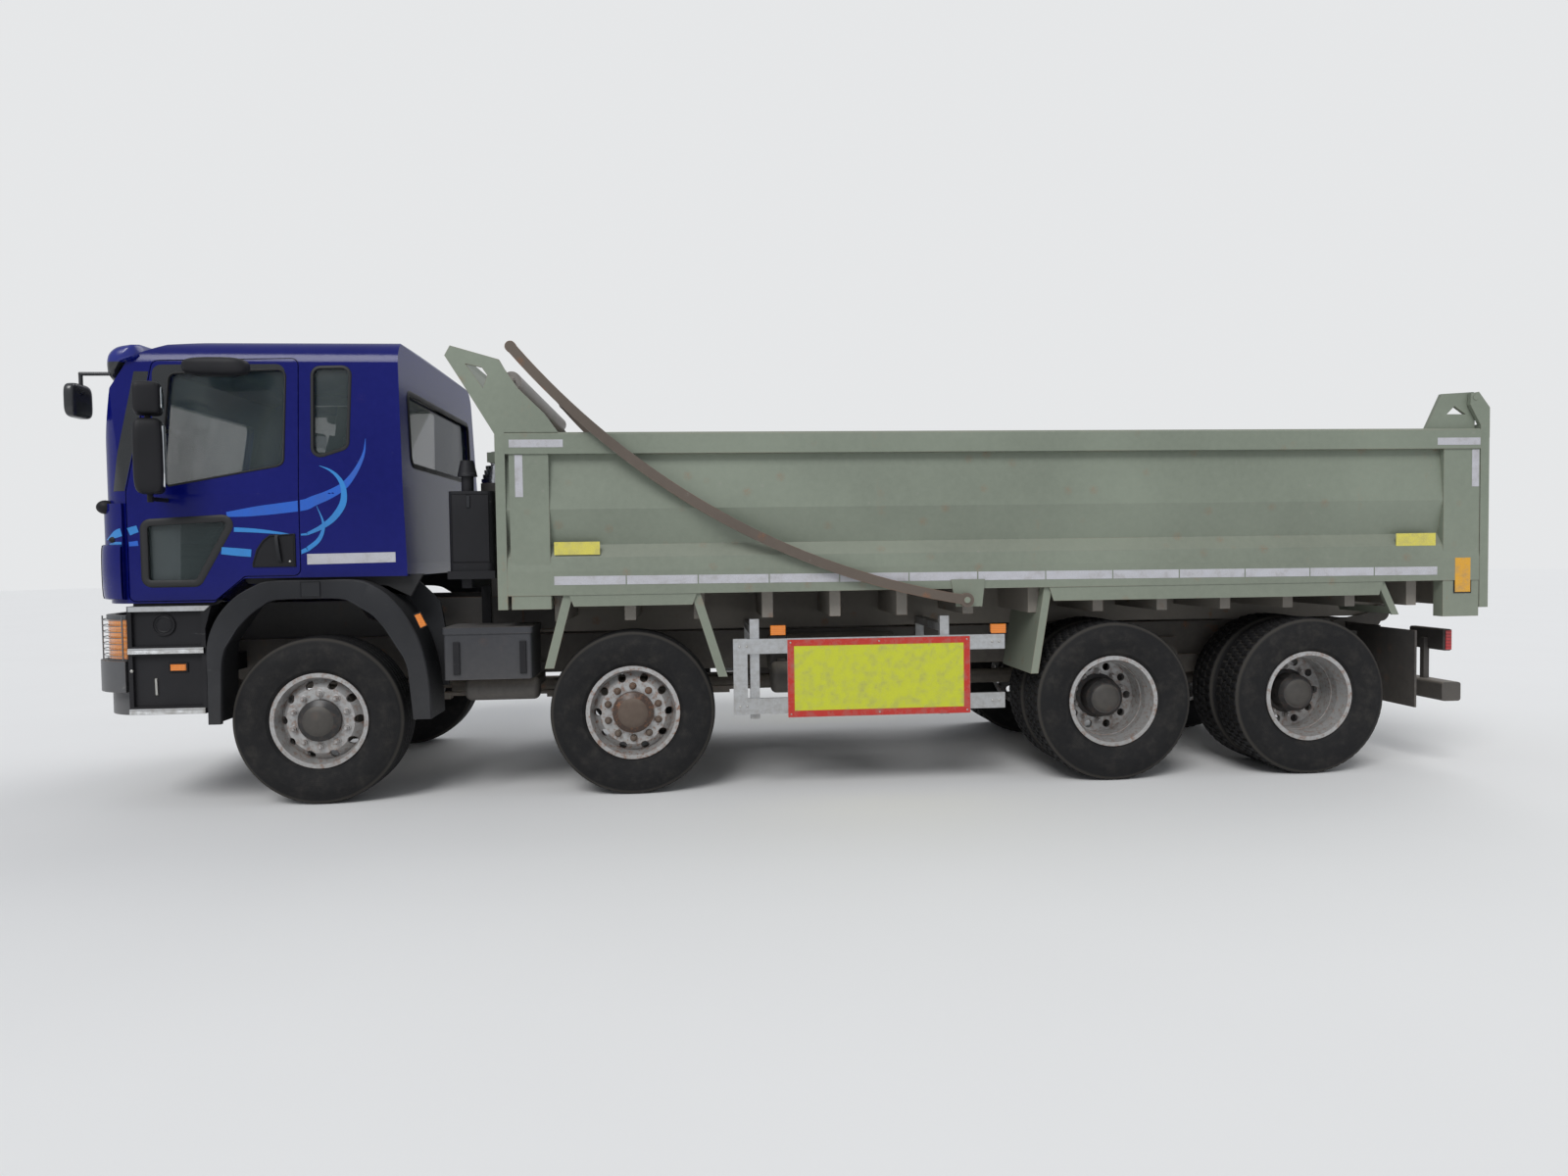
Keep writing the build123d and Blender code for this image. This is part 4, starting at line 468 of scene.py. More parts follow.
# Mouldings: grained black plastic, bolted on, for the mirrors, the intake and the step boxes, and
# a greyer, more weathered one for the arches.
def moulded(name, colour, gloss, dust=0.4):
    """Grained black plastic: a fine pebble in the surface, paler where it has weathered and gathered dust."""
    f = Finish(name)
    x, y, z = f.axes()
    pebble = f.node("ShaderNodeTexVoronoi", values={"Vector": f.place(), "Scale": 420.0}, out="Distance")
    fine = f.cloud(22.0, 5, 0.65)
    broad = f.cloud(2.2, 3, 0.5)
    settled = ((f.up_facing() * 0.7 + z.step(1.3, 0.3) * 0.6 + 0.12) * (fine * 0.8 + broad * 0.5) * dust).low(1.0)
    shade = f.mix(broad.step(0.35, 0.7), colour, tinted(colour, 1.5, 0.003))
    shade = f.mix(settled, shade, (0.27, 0.25, 0.22))
    scratch = f.cloud(9.0, 5, 0.7, stretch=(0.3, 1.0, 3.0), shift=(5, 2, 1)).step(0.66, 0.71) * 0.35
    shade = f.mix(scratch, shade, (0.20, 0.20, 0.20))
    return f.coat(shade, (settled * 0.3 + fine * 0.12 + gloss).low(0.95), relief=pebble * 0.5 + fine * 0.25,
                  relief_depth=0.0006, Specular_IOR_Level=0.28)


black = moulded("black_moulding", (0.007, 0.007, 0.009), 0.46, dust=0.06)
grey_black = moulded("weathered_moulding", (0.014, 0.015, 0.018), 0.5, dust=0.15)
dress(black, "near_door_mirrors", "far_door_mirrors", "air_intake", "step_wells")
dress(grey_black, "mudguards")

# The sun visor and front mirror: smoked plastic, screwed above the windscreen and painted in the
# cab's blue along the visor's top.
visor = Finish("sun_visor")
vx, _, vz = visor.axes()
painted = vz.step(2.754, 2.758) * vx.step(-4.40, -4.36)
haze = visor.cloud(16.0, 5, 0.6)
dress(visor.coat(visor.mix(painted, visor.mix(haze, (0.016, 0.017, 0.019), (0.034, 0.035, 0.038)),
                           visor.mix(haze, (0.004, 0.010, 0.17), (0.010, 0.020, 0.24))), haze * 0.14 + 0.22,
                 relief=haze, relief_depth=0.0003, Coat_Weight=0.3), "cab_fittings")

# Inside the cab: seats, dashboard and wheel in ribbed grey cloth and trim, bolted to the floor and
# seen through the glass.
seat_cloth = Finish("seat_cloth")
sx, _, sz = seat_cloth.axes()
rib = sx.wave(220.0) * 0.5 + sz.wave(220.0) * 0.5
patch = seat_cloth.cloud(14.0, 3, 0.5)
dress(seat_cloth.coat(seat_cloth.mix(patch * 0.6 + rib * 0.4, (0.055, 0.058, 0.066), (0.125, 0.130, 0.145)), 0.85,
                      relief=rib + patch * 0.3, relief_depth=0.0008, Sheen_Weight=0.3), "cab_interior")

# Panes: lightly tinted safety glass, held in the openings by rubbers and smeared with dust.
pane = Finish("tinted_pane")
smear = pane.cloud(3.0, 5, 0.6, stretch=(1, 1, 0.4))
haze = smear.step(0.45, 0.8) * 0.20
clear = pane.node("ShaderNodeBsdfPrincipled", values={
    "Base Color": pane.mix(haze, (0.045, 0.065, 0.065), (0.22, 0.23, 0.22)), "Roughness": haze * 0.3 + 0.02,
    "Alpha": haze * 0.5 + 0.40, "Coat Weight": 0.5, "Coat Roughness": 0.02, "Specular IOR Level": 0.4})
pane.node("ShaderNodeOutputMaterial", values={"Surface": clear})
dress(pane.material, "cab_glass", "near_door_glass", "far_door_glass")

# Light blue sweeps on the door and the cab's side: cut film on the paint, 0.6 mm thick here, each a
# band that swells and tapers along one curve. The bands are cut off upright at the door's gap.
def plain(name, colour, roughness, metallic=0.0, **fixed):
    """A small part's finish: its colour clouded by handling and grime, its gloss broken up the same way."""
    f = Finish(name)
    fine = f.cloud(45.0, 4, 0.6)
    broad = f.cloud(6.0, 4, 0.6)
    grime = (broad.step(0.45, 0.75) * 0.5 + fine.step(0.5, 0.8) * 0.3)
    shade = f.mix(grime, colour, tinted(colour, 0.66, 0.010))
    return f.coat(shade, grime * 0.25 + roughness, metallic=metallic, relief=fine, relief_depth=0.0004, **fixed)


cab_half, belt_z, eave_z, lean_in = 1.140, 1.940, 2.760, 0.062
nose_x, shoulder_x, nose_bow, corner_run = -4.470, -4.420, 0.05, 0.330


def cab_side(x, z):
    """How far the cab's side stands from the centre plane: upright to the belt, then leaning in."""
    return cab_half - lean_in * np.clip((z - belt_z) / (eave_z - belt_z), 0, None)


def nose_corner(outset):
    """The nose's corner in plan at a distance outside the cab: a circle through the end of the flat side, the
    middle of the turn and the shoulder of the bowed front. Gives (centre x, centre y, radius, shoulder y)."""
    front, side, corner = nose_x - outset, cab_half + outset, corner_run + outset
    a = np.array([front + corner - 0.06, side])
    b = np.array([front + nose_bow + 0.24 * corner, side - 0.24 * corner])
    c = np.array([front + nose_bow, side - corner + 0.07])
    centre = np.linalg.solve(2 * np.stack([b - a, c - a]), [b @ b - a @ a, c @ c - a @ a])
    return centre[0], centre[1], np.linalg.norm(a - centre), c[1]


def nose_line(outset, inner, rear, count=10):
    """The nose seen from above, from y = inner round the corner to x = rear, as (x, distance outboard).
    The front is bowed: x = front + bow (y / y_shoulder)^2."""
    middle_x, middle_y, radius, shoulder = nose_corner(outset)
    y = np.linspace(inner, shoulder, 4)
    bowed = np.stack([nose_x - outset + nose_bow * (y / shoulder) ** 2, y], -1)
    first = math.atan2(shoulder - middle_y, shoulder_x - outset - middle_x)
    last = math.acos((rear - middle_x) / radius)
    turn = np.linspace(first, last, count)[1:]
    return np.concatenate([bowed, np.stack([middle_x + radius * np.cos(turn), middle_y + radius * np.sin(turn)], -1)])


def nose_side(x, z):
    """How far the blue nose stands outboard on its rounded corner."""
    middle_x, middle_y, radius, _ = nose_corner(0.022)
    return middle_y + np.sqrt(np.maximum(radius ** 2 - (x - middle_x) ** 2, 1e-6))


def catmull_rom(a, b, c, d, u):
    """The curve from b to c at share u, with neighbours a and d: half of
    2b + (c - a) u + (2a - 5b + 4c - d) u^2 + (3b - a - 3c + d) u^3."""
    return 0.5 * (2 * b + (c - a) * u + (2 * a - 5 * b + 4 * c - d) * u ** 2 + (3 * b - a - 3 * c + d) * u ** 3)


def mirrored_ends(points):
    """The points with one more before and after, each the end's neighbour mirrored about that end."""
    return np.concatenate([2 * points[:1] - points[1:2], points, 2 * points[-1:] - points[-2:-1]])


def ribbon(line, widths, lift, outward=-1.0, samples=40, thickness=0.0006, skin_of=cab_side, reach=(-9.0, 9.0)):
    """A band along a smooth curve on the side: each point between the traced ones comes from a Catmull-Rom
    spline, and so does the band's width between the traced widths. It is cut off upright at reach."""
    line = np.asarray(line, float)
    table = np.concatenate([line, np.asarray(widths, float)[:, None]], 1)
    padded = mirrored_ends(table)
    t = np.linspace(0, len(line) - 1 - 1e-6, samples)
    k = t.astype(int)
    u = (t - k)[:, None]
    run = catmull_rom(*(padded[k + n] for n in range(4)), u)
    along = np.gradient(run[:, :2], axis=0)
    along /= np.linalg.norm(along, axis=1)[:, None]
    across = np.stack([-along[:, 1], along[:, 0]], -1) * np.maximum(run[:, 2:3], 0.0004) / 2
    left, right_edge = run[:, :2] + across, run[:, :2] - across
    for edge in (left, right_edge):
        edge[:, 0] = np.clip(edge[:, 0], *reach)
    rows = []
    for edge, depth in ((left, 0.0), (left, thickness), (right_edge, thickness), (right_edge, 0.0)):
        skin = skin_of(edge[:, 0], edge[:, 1]) + lift + depth
        rows.append(np.stack([edge[:, 0], outward * skin, edge[:, 1]], -1))
    return np.stack(rows)


def from_axle(points):
    """(distance behind the first axle, height) to (x, z) in the lorry's frame."""
    return [(axle_places[1] + behind, height) for behind, height in points]


sky_film = plain("sky_film", (0.022, 0.230, 0.620), 0.28, Coat_Weight=0.4)
deep_film = plain("royal_film", (0.008, 0.110, 0.560), 0.28, Coat_Weight=0.4)
door_sweeps = [
    ([(-0.520, 1.815), (-0.409, 1.826), (-0.316, 1.837), (-0.216, 1.848), (-0.050, 1.868)],
     [0.030, 0.050, 0.060, 0.064, 0.067], "deep"),
    ([(-0.478, 1.722), (-0.343, 1.713), (-0.209, 1.697), (-0.120, 1.684)], [0.028, 0.024, 0.014, 0.002], "sky"),
    ([(-0.556, 1.593), (-0.452, 1.582), (-0.380, 1.575)], [0.044, 0.048, 0.046], "sky"),
    ([(-1.098, 1.715), (-1.072, 1.725), (-1.045, 1.733)], [0.048, 0.045, 0.042], "sky"),
    ([(-1.098, 1.640), (-1.072, 1.642), (-1.045, 1.645)], [0.027, 0.029, 0.031], "deep")]
nose_sweeps = [
    ([(-1.135, 1.714), (-1.175, 1.702), (-1.225, 1.680), (-1.262, 1.668)], [0.050, 0.046, 0.022, 0.003]),
    ([(-1.135, 1.640), (-1.180, 1.642), (-1.235, 1.642)], [0.027, 0.024, 0.004])]
side_sweeps = [
    ([(-0.120, 1.860), (-0.046, 1.872), (0.002, 1.894), (0.091, 1.930), (0.181, 1.983), (0.242, 2.056),
      (0.285, 2.134), (0.308, 2.201), (0.316, 2.280)],
     [0.067, 0.067, 0.062, 0.055, 0.046, 0.033, 0.023, 0.013, 0.002], "deep"),
    ([(-0.120, 1.683), (-0.048, 1.688), (-0.033, 1.694), (0.044, 1.731), (0.116, 1.785), (0.171, 1.862),
      (0.185, 1.929), (0.175, 1.996), (0.141, 2.050), (0.095, 2.087), (0.037, 2.112)],
     [0.008, 0.014, 0.018, 0.029, 0.038, 0.041, 0.036, 0.029, 0.020, 0.012, 0.002], "sky"),
    ([(-0.100, 1.570), (-0.048, 1.592), (-0.036, 1.600), (0.024, 1.650), (0.055, 1.718), (0.051, 1.778),
      (0.018, 1.864)], [0.024, 0.026, 0.028, 0.026, 0.019, 0.012, 0.002], "sky")]
film = {"deep": deep_film, "sky": sky_film}
for side, outward in sides:
    for group, body, sweeps, reach in (("door", f"{side}_door", door_sweeps, (-9.0, axle_places[1] - 0.0945)),
                                       ("cab", "cab", side_sweeps, (axle_places[1] - 0.0805, 9.0))):
        for tone, lift in (("deep", 0.0001), ("sky", 0.0009)):
            bands = [(ribbon(from_axle(line), widths, lift + 0.0007 * (k % 3), outward, reach=reach), True, False)
                     for k, (line, widths, which) in enumerate(sweeps) if which == tone]
            if bands:
                piece(f"{side}_{group}_{tone}_sweeps", bands, film[tone], body)
    piece(f"{side}_nose_sweeps", [(ribbon(from_axle(line), widths, 0.0004, outward, skin_of=nose_side), True, False)
                                  for line, widths in nose_sweeps], sky_film, "cab")


# Window rubbers: black extruded seals pressed over each opening's rim, 12 to 44 mm wide, which hold
# the panes.
def rim_loop(outline, radius, steps=6):
    """The outline with each corner rounded by an arc of that radius, as one closed run of points."""
    line = np.asarray(outline, float)
    before, after = np.roll(line, 1, 0), np.roll(line, -1, 0)
    out = []
    for corner, a, b in zip(line, before, after):
        u, v = (a - corner) / np.linalg.norm(a - corner), (b - corner) / np.linalg.norm(b - corner)
        half = math.acos(max(-1, min(1, float(u @ v)))) / 2
        cut = radius / math.tan(half)
        middle = corner + (u + v) / np.linalg.norm(u + v) * radius / math.sin(half)
        start, end = corner + u * cut - middle, corner + v * cut - middle
        first = math.atan2(start[1], start[0])
        sweep = (math.atan2(end[1], end[0]) - first + math.pi) % (2 * math.pi) - math.pi
        turn = first + sweep * np.linspace(0, 1, steps)
        out.append(middle + radius * np.stack([np.cos(turn), np.sin(turn)], -1))
    return np.concatenate(out)


def seal(loop, surface, section):
    """A closed section carried round a closed loop on a skin: (inward of the loop, out of the skin) offsets.
    surface(x, z) gives how far the skin stands outboard there. The loop's area has the sign of its turn."""
    tangent = np.roll(loop, -1, 0) - np.roll(loop, 1, 0)
    tangent /= np.linalg.norm(tangent, axis=1)[:, None]
    area = np.sum(loop[:, 0] * np.roll(loop[:, 1], -1) - np.roll(loop[:, 0], -1) * loop[:, 1])
    inward = np.stack([-tangent[:, 1], tangent[:, 0]], -1) * np.sign(area)
    flat = loop[:, None, :] + inward[:, None, :] * np.asarray(section)[None, :, 0, None]
    skin = surface(flat[..., 0], flat[..., 1]) + np.asarray(section)[None, :, 1]
    return flat, skin


seal_rubber = plain("window_rubber", (0.012, 0.012, 0.013), 0.55)
seal_section = [(0.016, -0.012), (0.016, 0.002), (0.010, 0.0065), (-0.006, 0.0065), (-0.016, 0.003), (-0.018, 0.0005),
                (-0.016, -0.004), (0.004, -0.006), (0.008, -0.012)]
door_glass_line = from_axle([(-0.905, 1.985), (-0.860, 2.690), (-0.165, 2.715), (-0.178, 2.120)])
low_glass_line = from_axle([(-1.010, 1.395), (-1.010, 1.768), (-0.475, 1.795), (-0.700, 1.395)])
quarter_line = from_axle([(-0.005, 2.155), (-0.005, 2.725), (0.225, 2.730), (0.208, 2.225)])
for side, outward in sides:
    for label, line, radius, wide, body in (("door_window", door_glass_line, 0.045, 0.35, f"{side}_door"),
                                            ("low_window", low_glass_line, 0.040, 1.3, f"{side}_door"),
                                            ("quarter_window", quarter_line, 0.050, 0.6, "cab")):
        flat, skin = seal(rim_loop(line, radius), cab_side, np.array(seal_section) * (wide, 1.0))
        grid = np.stack([flat[..., 0], outward * skin, flat[..., 1]], -1)
        piece(f"{side}_{label}_rubber", [(grid, True, True)], seal_rubber, body)


# The door window's band: black enamel printed on the rim of the main pane, which runs out past the
# opening and is glued to the door's frame.
def band(outer, inner, lift, outward, thickness=0.0008):
    """A flat ring between two outlines with the same number of points, lying on the cab's side."""
    rings = []
    for edge, depth in ((outer, 0.0), (outer, thickness), (inner, thickness), (inner, 0.0)):
        skin = cab_side(edge[:, 0], edge[:, 1]) + lift + depth
        rings.append(np.stack([edge[:, 0], outward * skin, edge[:, 1]], -1))
    return np.stack(rings)


printed = plain("printed_band", (0.006, 0.008, 0.009), 0.10, Coat_Weight=1.0)
window_reach = rim_loop(from_axle([(-0.950, 1.983), (-0.958, 2.742), (-0.166, 2.747), (-0.180, 2.110)]), 0.055)
for side, outward in sides:
    around = band(window_reach, rim_loop(door_glass_line, 0.045), 0.0004, outward)
    piece(f"{side}_window_band", [(around, True, True)], printed, f"{side}_door")

# The bumper: three bands of pressed steel in dark grey, bolted to the rails' ends, stone-chipped
# and rubbed at its corners.
bumper_grey = worn_metal("bumper_grey", (0.066, 0.070, 0.078), 0.30, dust=0.22, rust=0.08, chips=0.35)
dress(bumper_grey, "front_bumper")

# The headlamps: clear fluted polycarbonate over a white reflector, amber at the outer end where the
# indicator is, let into the bumper's corners.
lamp = Finish("lamp_lens")
lx, _, lz = lamp.axes()
flute = lx.wave(55.0) * 0.5 + lz.wave(40.0) * 0.5
amber_part = lx.step(-4.405, -4.395)
lamp_colour = lamp.mix(amber_part, lamp.mix(flute, (0.62, 0.62, 0.60), (0.86, 0.86, 0.84)),
                       lamp.mix(flute, (0.60, 0.16, 0.015), (0.88, 0.33, 0.04)))
dress(lamp.coat(lamp_colour, flute * 0.08 + 0.12, relief=flute, relief_depth=0.002, Coat_Weight=1.0,
                Coat_Roughness=0.05), "headlamps")

# Boxes and tanks: a battery box with a ribbed lid, air vessels and the side tank, strapped to
# brackets on the rails.
box_grey = worn_metal("box_grey", (0.026, 0.029, 0.037), 0.42, dust=0.25, rust=0.08, chips=0.15)
dress(box_grey, "battery_box")
dress(worn_metal("tank_black", (0.028, 0.028, 0.030), 0.40, dust=0.45, rust=0.2, chips=0.2), "tanks")


# Side guards and underrun bar: rolled aluminium rails bolted to posts on the frame, and a black
# steel beam across the back.
def rolled_alloy(name, colour, dust):
    """Extruded aluminium: fine lines along its length, chalky with road salt."""
    f = Finish(name)
    x, y, z = f.axes()
    line = f.cloud(60.0, 3, 0.7, stretch=(0.02, 1, 1))
    fine = f.cloud(26.0, 5, 0.65)
    runs = f.cloud(6.0, 4, 0.6, stretch=(1, 1, 0.2))
    dirt = ((fine.step(0.4, 0.75) * 0.6 + runs.step(0.5, 0.8) * 0.5 + z.step(0.9, 0.4) * 0.3) * dust).low(1.0)
    shade = f.mix(dirt, f.mix(line, colour, tinted(colour, 1.3)), (0.24, 0.22, 0.19))
    return f.coat(shade, (dirt * 0.3 + line * 0.15 + 0.30).low(0.95), metallic=0.75 - dirt * 0.6,
                  relief=line * 0.4 + fine * 0.3, relief_depth=0.0006)


alloy = rolled_alloy("guard_alloy", (0.46, 0.47, 0.48), 0.8)
dress(alloy, "side_guards")
dress(worn_metal("underrun_black", (0.026, 0.026, 0.028), 0.5, dust=0.35, rust=0.2, chips=0.2), "rear_underrun")

# The tipping body: welded steel plate in faded grey-green. Stone dust hangs on its ledges, rain
# has drawn it down the plate, and corners and seams rust.
body_look = dict(dust=0.30, rust=0.34, chips=0.30, dust_colour=(0.27, 0.25, 0.20), low_dirt=1.75)
faded_green = (0.205, 0.235, 0.185)
dress(worn_metal("body_green", faded_green, 0.40, **body_look), "bed_stays")
for part, where in (("bed_sides", lambda x, y, z: y.math("ABSOLUTE").step(1.134, 1.131)),
                    ("headboard", lambda x, y, z: y.math("ABSOLUTE").step(1.222, 1.219) * x.step(-1.93, -1.915)),
                    ("tailgate", lambda x, y, z: y.math("ABSOLUTE").step(1.15, 1.14) * x.step(4.522, 4.518))):
    dress(worn_metal(f"{part}_green", faded_green, 0.40, scoured_where=where, **body_look), part)
dress(worn_metal("scoured_floor", (0.20, 0.19, 0.175), 0.5, dust=0.9, rust=0.6, chips=0.8, low_dirt=1.9), "bed_floor")
dress(worn_metal("bow_rusted", (0.105, 0.082, 0.065), 0.55, dust=0.4, rust=0.7, chips=0.6), "sheet_bow")

# The ram: four chromed steel tubes that slide in one another, filmed with oil, on a cradle behind
# the cab.
rod = Finish("ram_chrome")
oil = rod.cloud(30.0, 4, 0.6, stretch=(1, 1, 0.2))
dress(rod.coat(rod.mix(oil.step(0.5, 0.8), (0.62, 0.63, 0.65), (0.35, 0.33, 0.30)), oil * 0.2 + 0.10, metallic=1.0,
               relief=oil, relief_depth=0.0002), "ram_stage_1", "ram_stage_2", "ram_stage_3", "ram_stage_4")

# Tapes on the body: retro-reflective film, white bars along its foot and L-shaped corners, blank
# yellow labels, one framed amber reflector behind each side, and a white strip on the cab's side.
def film_finish(name, colour, cell):
    """Reflective film: a honeycomb of tiny beads under clear resin, dusty towards its edges."""
    f = Finish(name)
    bead = f.node("ShaderNodeTexVoronoi", {"feature": "DISTANCE_TO_EDGE"}, {"Vector": f.place(), "Scale": cell},
                  out="Distance")
    grime = f.cloud(18.0, 5, 0.65).step(0.45, 0.75) * 0.45
    shade = f.mix(bead.step(0.0, 0.12), tinted(colour, 0.8), colour)
    shade = f.mix(grime, shade, (0.25, 0.23, 0.20))
    return f.coat(shade, grime * 0.3 + 0.25, relief=bead.step(0.0, 0.1), relief_depth=0.0003)


tape_white = film_finish("reflective_white", (0.56, 0.56, 0.60), 220.0)
tape_amber = film_finish("reflector_amber", (0.78, 0.40, 0.04), 160.0)
label_yellow = film_finish("label_yellow", (0.74, 0.66, 0.12), 240.0)
mark_red = film_finish("mark_red", (0.55, 0.03, 0.02), 200.0)


def side_rings(pairs):
    """A ring of points for each (outline of (x, z) points, y), upright along the lorry."""
    return np.stack([np.stack([line[:, 0], np.full(len(line), y), line[:, 1]], -1) for line, y in pairs])


def side_plate(outline, y, thickness, outward=-1.0, ease=0.0015):
    """A flat plate on the lorry's side: an outline of (x, z) points with its faces at y and y + thickness outboard.
    Its rim is eased, and each face closes on its middle."""
    line = np.asarray(outline, float)
    middle = line.mean(0)
    reach = np.linalg.norm(line - middle, axis=1)[:, None]
    inner = middle + (line - middle) * (1 - ease / reach)
    heart = np.broadcast_to(middle, line.shape)
    return side_rings([(heart, y), (inner, y), (line, y + outward * ease), (line, y + outward * (thickness - ease)),
                       (inner, y + outward * thickness), (heart, y + outward * thickness)])


def block(rear, low, front, high):
    """A rectangle's corners from two opposite ones."""
    return [(rear, low), (front, low), (front, high), (rear, high)]


def bar(points, y, outward, thickness=0.0012, ease=0.0004):
    """A thin plate y outboard, its outline as (distance behind the first axle, height) points."""
    return side_plate(from_axle(points), outward * y, thickness, outward, ease), False, True


foot, corner, rail, sheet = 1.2451, 1.2401, 1.2501, 1.2351  # each face of the body's side, 0.1 mm out
joints = np.linspace(1.470, 7.310, 14)
for side, outward in sides:
    bars = []
    for a, b in zip(joints[:-1], joints[1:]):
        low_a, low_b = 1.350 - 0.0045 * (a - 1.47), 1.350 - 0.0045 * (b - 1.47)
        bars.append(bar([(a + 0.004, low_a), (b - 0.004, low_b), (b - 0.004, low_b + 0.055),
                         (a + 0.004, low_a + 0.055)], foot, outward))
    bars += [bar(block(1.215, 2.206, 1.545, 2.254), rail, outward),
             bar(block(1.246, 1.900, 1.294, 2.160), corner, outward),
             bar(block(7.297, 2.190, 7.600, 2.238), rail, outward),
             bar(block(7.550, 1.912, 7.600, 2.160), corner, outward)]
    piece(f"{side}_body_tapes", bars, tape_white, "bed", bend=20)
    piece(f"{side}_body_labels", [bar(block(1.476, 1.537, 1.758, 1.618), sheet, outward),
                                  bar(block(7.02, 1.520, 7.30, 1.604), sheet, outward)],
          label_yellow, "bed", bend=20)
    piece(f"{side}_body_reflector", [bar(block(7.433, 1.206, 7.542, 1.436), corner, outward, 0.006)],
          tape_amber, "bed", bend=20)
    piece(f"{side}_reflector_frame", [bar(block(7.425, 1.198, 7.550, 1.444), 1.2400, outward, 0.004)],
          seal_rubber, "bed", bend=20)
    piece(f"{side}_cab_tape", [bar([(-0.048, 1.500), (0.486, 1.507), (0.486, 1.570), (-0.048, 1.565)], 1.1401,
                                   outward)], tape_white, "cab", bend=20)

# Mirrors: on each door two black moulded heads on an upright tube, each with a silvered pane let
# into its rear face, and the kerb mirror above the window, all on bent arms.
silvering = Finish("mirror_silver")
mist = silvering.cloud(8.0, 4, 0.6).step(0.5, 0.8)
mirror = silvering.coat(silvering.mix(mist, (0.78, 0.80, 0.82), (0.50, 0.50, 0.50)), mist * 0.15 + 0.02, metallic=1.0)
mirror_turn = math.radians(20)


def swept(path, section, start_up=(0, 0, 1)):
    """A closed section of (side, up) offsets carried along a path of points; the ends shrink to a point each."""
    path = np.asarray(path, float)
    section = np.asarray(section, float)
    run = np.gradient(path, axis=0)
    run /= np.linalg.norm(run, axis=1)[:, None]
    ups = np.broadcast_to(np.asarray(start_up, float), path.shape)
    side = np.cross(run, ups)
    side /= np.linalg.norm(side, axis=1)[:, None]
    ups = np.cross(side, run)
    body = (path[:, None, :] + section[None, :, 0, None] * side[:, None, :]
            + section[None, :, 1, None] * ups[:, None, :])
    middle = section.mean(0)
    ends = [np.broadcast_to(path[k] + middle[0] * side[k] + middle[1] * ups[k], body[:1].shape) for k in (0, -1)]
    return np.concatenate([ends[0], body, ends[1]]), False, True


def tube(path, radius, count, start_up=(0, 0, 1)):
    """A round bar carried along a path."""
    angle = full_turn(count)
    return swept(path, np.stack([radius * np.cos(angle), radius * np.sin(angle)], -1), start_up)


def shell(centre, size, turn=0.0, sharpness=0.36, rows=20, columns=40):
    """A housing with soft edges: a ball whose sines and cosines are raised to a power below 1, which fills it
    out towards its box, x = a c(u) c(v), y = b c(u) s(v), z = h s(u), then turned about the upright."""
    u = np.linspace(-math.pi / 2, math.pi / 2, rows)[:, None]
    v = full_turn(columns)[None, :]
    fill = lambda wave: np.sign(wave) * np.abs(wave) ** sharpness
    x = size[0] / 2 * fill(np.cos(u)) * fill(np.cos(v))
    y = size[1] / 2 * fill(np.cos(u)) * fill(np.sin(v))
    z = size[2] / 2 * fill(np.sin(u)) + 0 * v
    return (np.stack([centre[0] + x * math.cos(turn) - y * math.sin(turn),
                      centre[1] + x * math.sin(turn) + y * math.cos(turn), centre[2] + z], -1), False, True)


for side, outward in sides:
    middle = np.array([axle_places[1] - 0.858, outward * 1.348])
    facing = np.array([math.cos(mirror_turn), -outward * math.sin(mirror_turn)])
    across = np.array([outward * math.sin(mirror_turn), math.cos(mirror_turn)])
    panes = []
    for z, tall, wide, depth in ((2.155, 0.376, 0.136, 0.160), (2.495, 0.136, 0.132, 0.150)):
        loop = rim_loop(block(-wide / 2, -tall / 2, wide / 2, tall / 2), 0.03)
        rings = []
        for shrink, rise in ((0.0, -0.010), (1.0, -0.010), (1.0, 0.002), (0.97, 0.003), (0.0, 0.004)):
            place = middle + facing * (depth / 2 + rise) + loop[:, :1] * shrink * across
            rings.append(np.stack([place[:, 0], place[:, 1], z + loop[:, 1] * shrink], -1))
        panes.append((np.stack(rings), False, True))
    piece(f"{side}_mirror_panes", panes, mirror, f"{side}_door")
    heads = [shell((*middle, z), size, -outward * mirror_turn)
             for z, size in ((2.155, (0.160, 0.195, 0.446)), (2.495, (0.150, 0.190, 0.196)))]
    post_x, post_y, kerb_x = axle_places[1] - 0.868, outward * 1.335, axle_places[1] - 0.510
    heads.append(shell((kerb_x, outward * 1.240, 2.700), (0.380, 0.150, 0.110), 0.0, 0.6))
    for path, radius, start_up in (([(post_x, post_y, z) for z in (1.885, 2.100, 2.350, 2.575)], 0.017, (1, 0, 0)),
                                   ([(post_x, outward * y, 1.905) for y in (1.1405, 1.24, 1.335)], 0.013, (0, 0, 1)),
                                   ([(post_x, outward * y, 2.330) for y in (1.1115, 1.23, 1.335)], 0.013, (0, 0, 1)),
                                   ([(kerb_x, outward * y, 2.740) for y in (1.0800, 1.12, 1.190)], 0.020, (0, 0, 1))):
        heads.append(tube(path, radius, 14, start_up))
    piece(f"{side}_mirror_housings", heads, black, f"{side}_door", [f"{side}_door_mirrors"], bend=50)

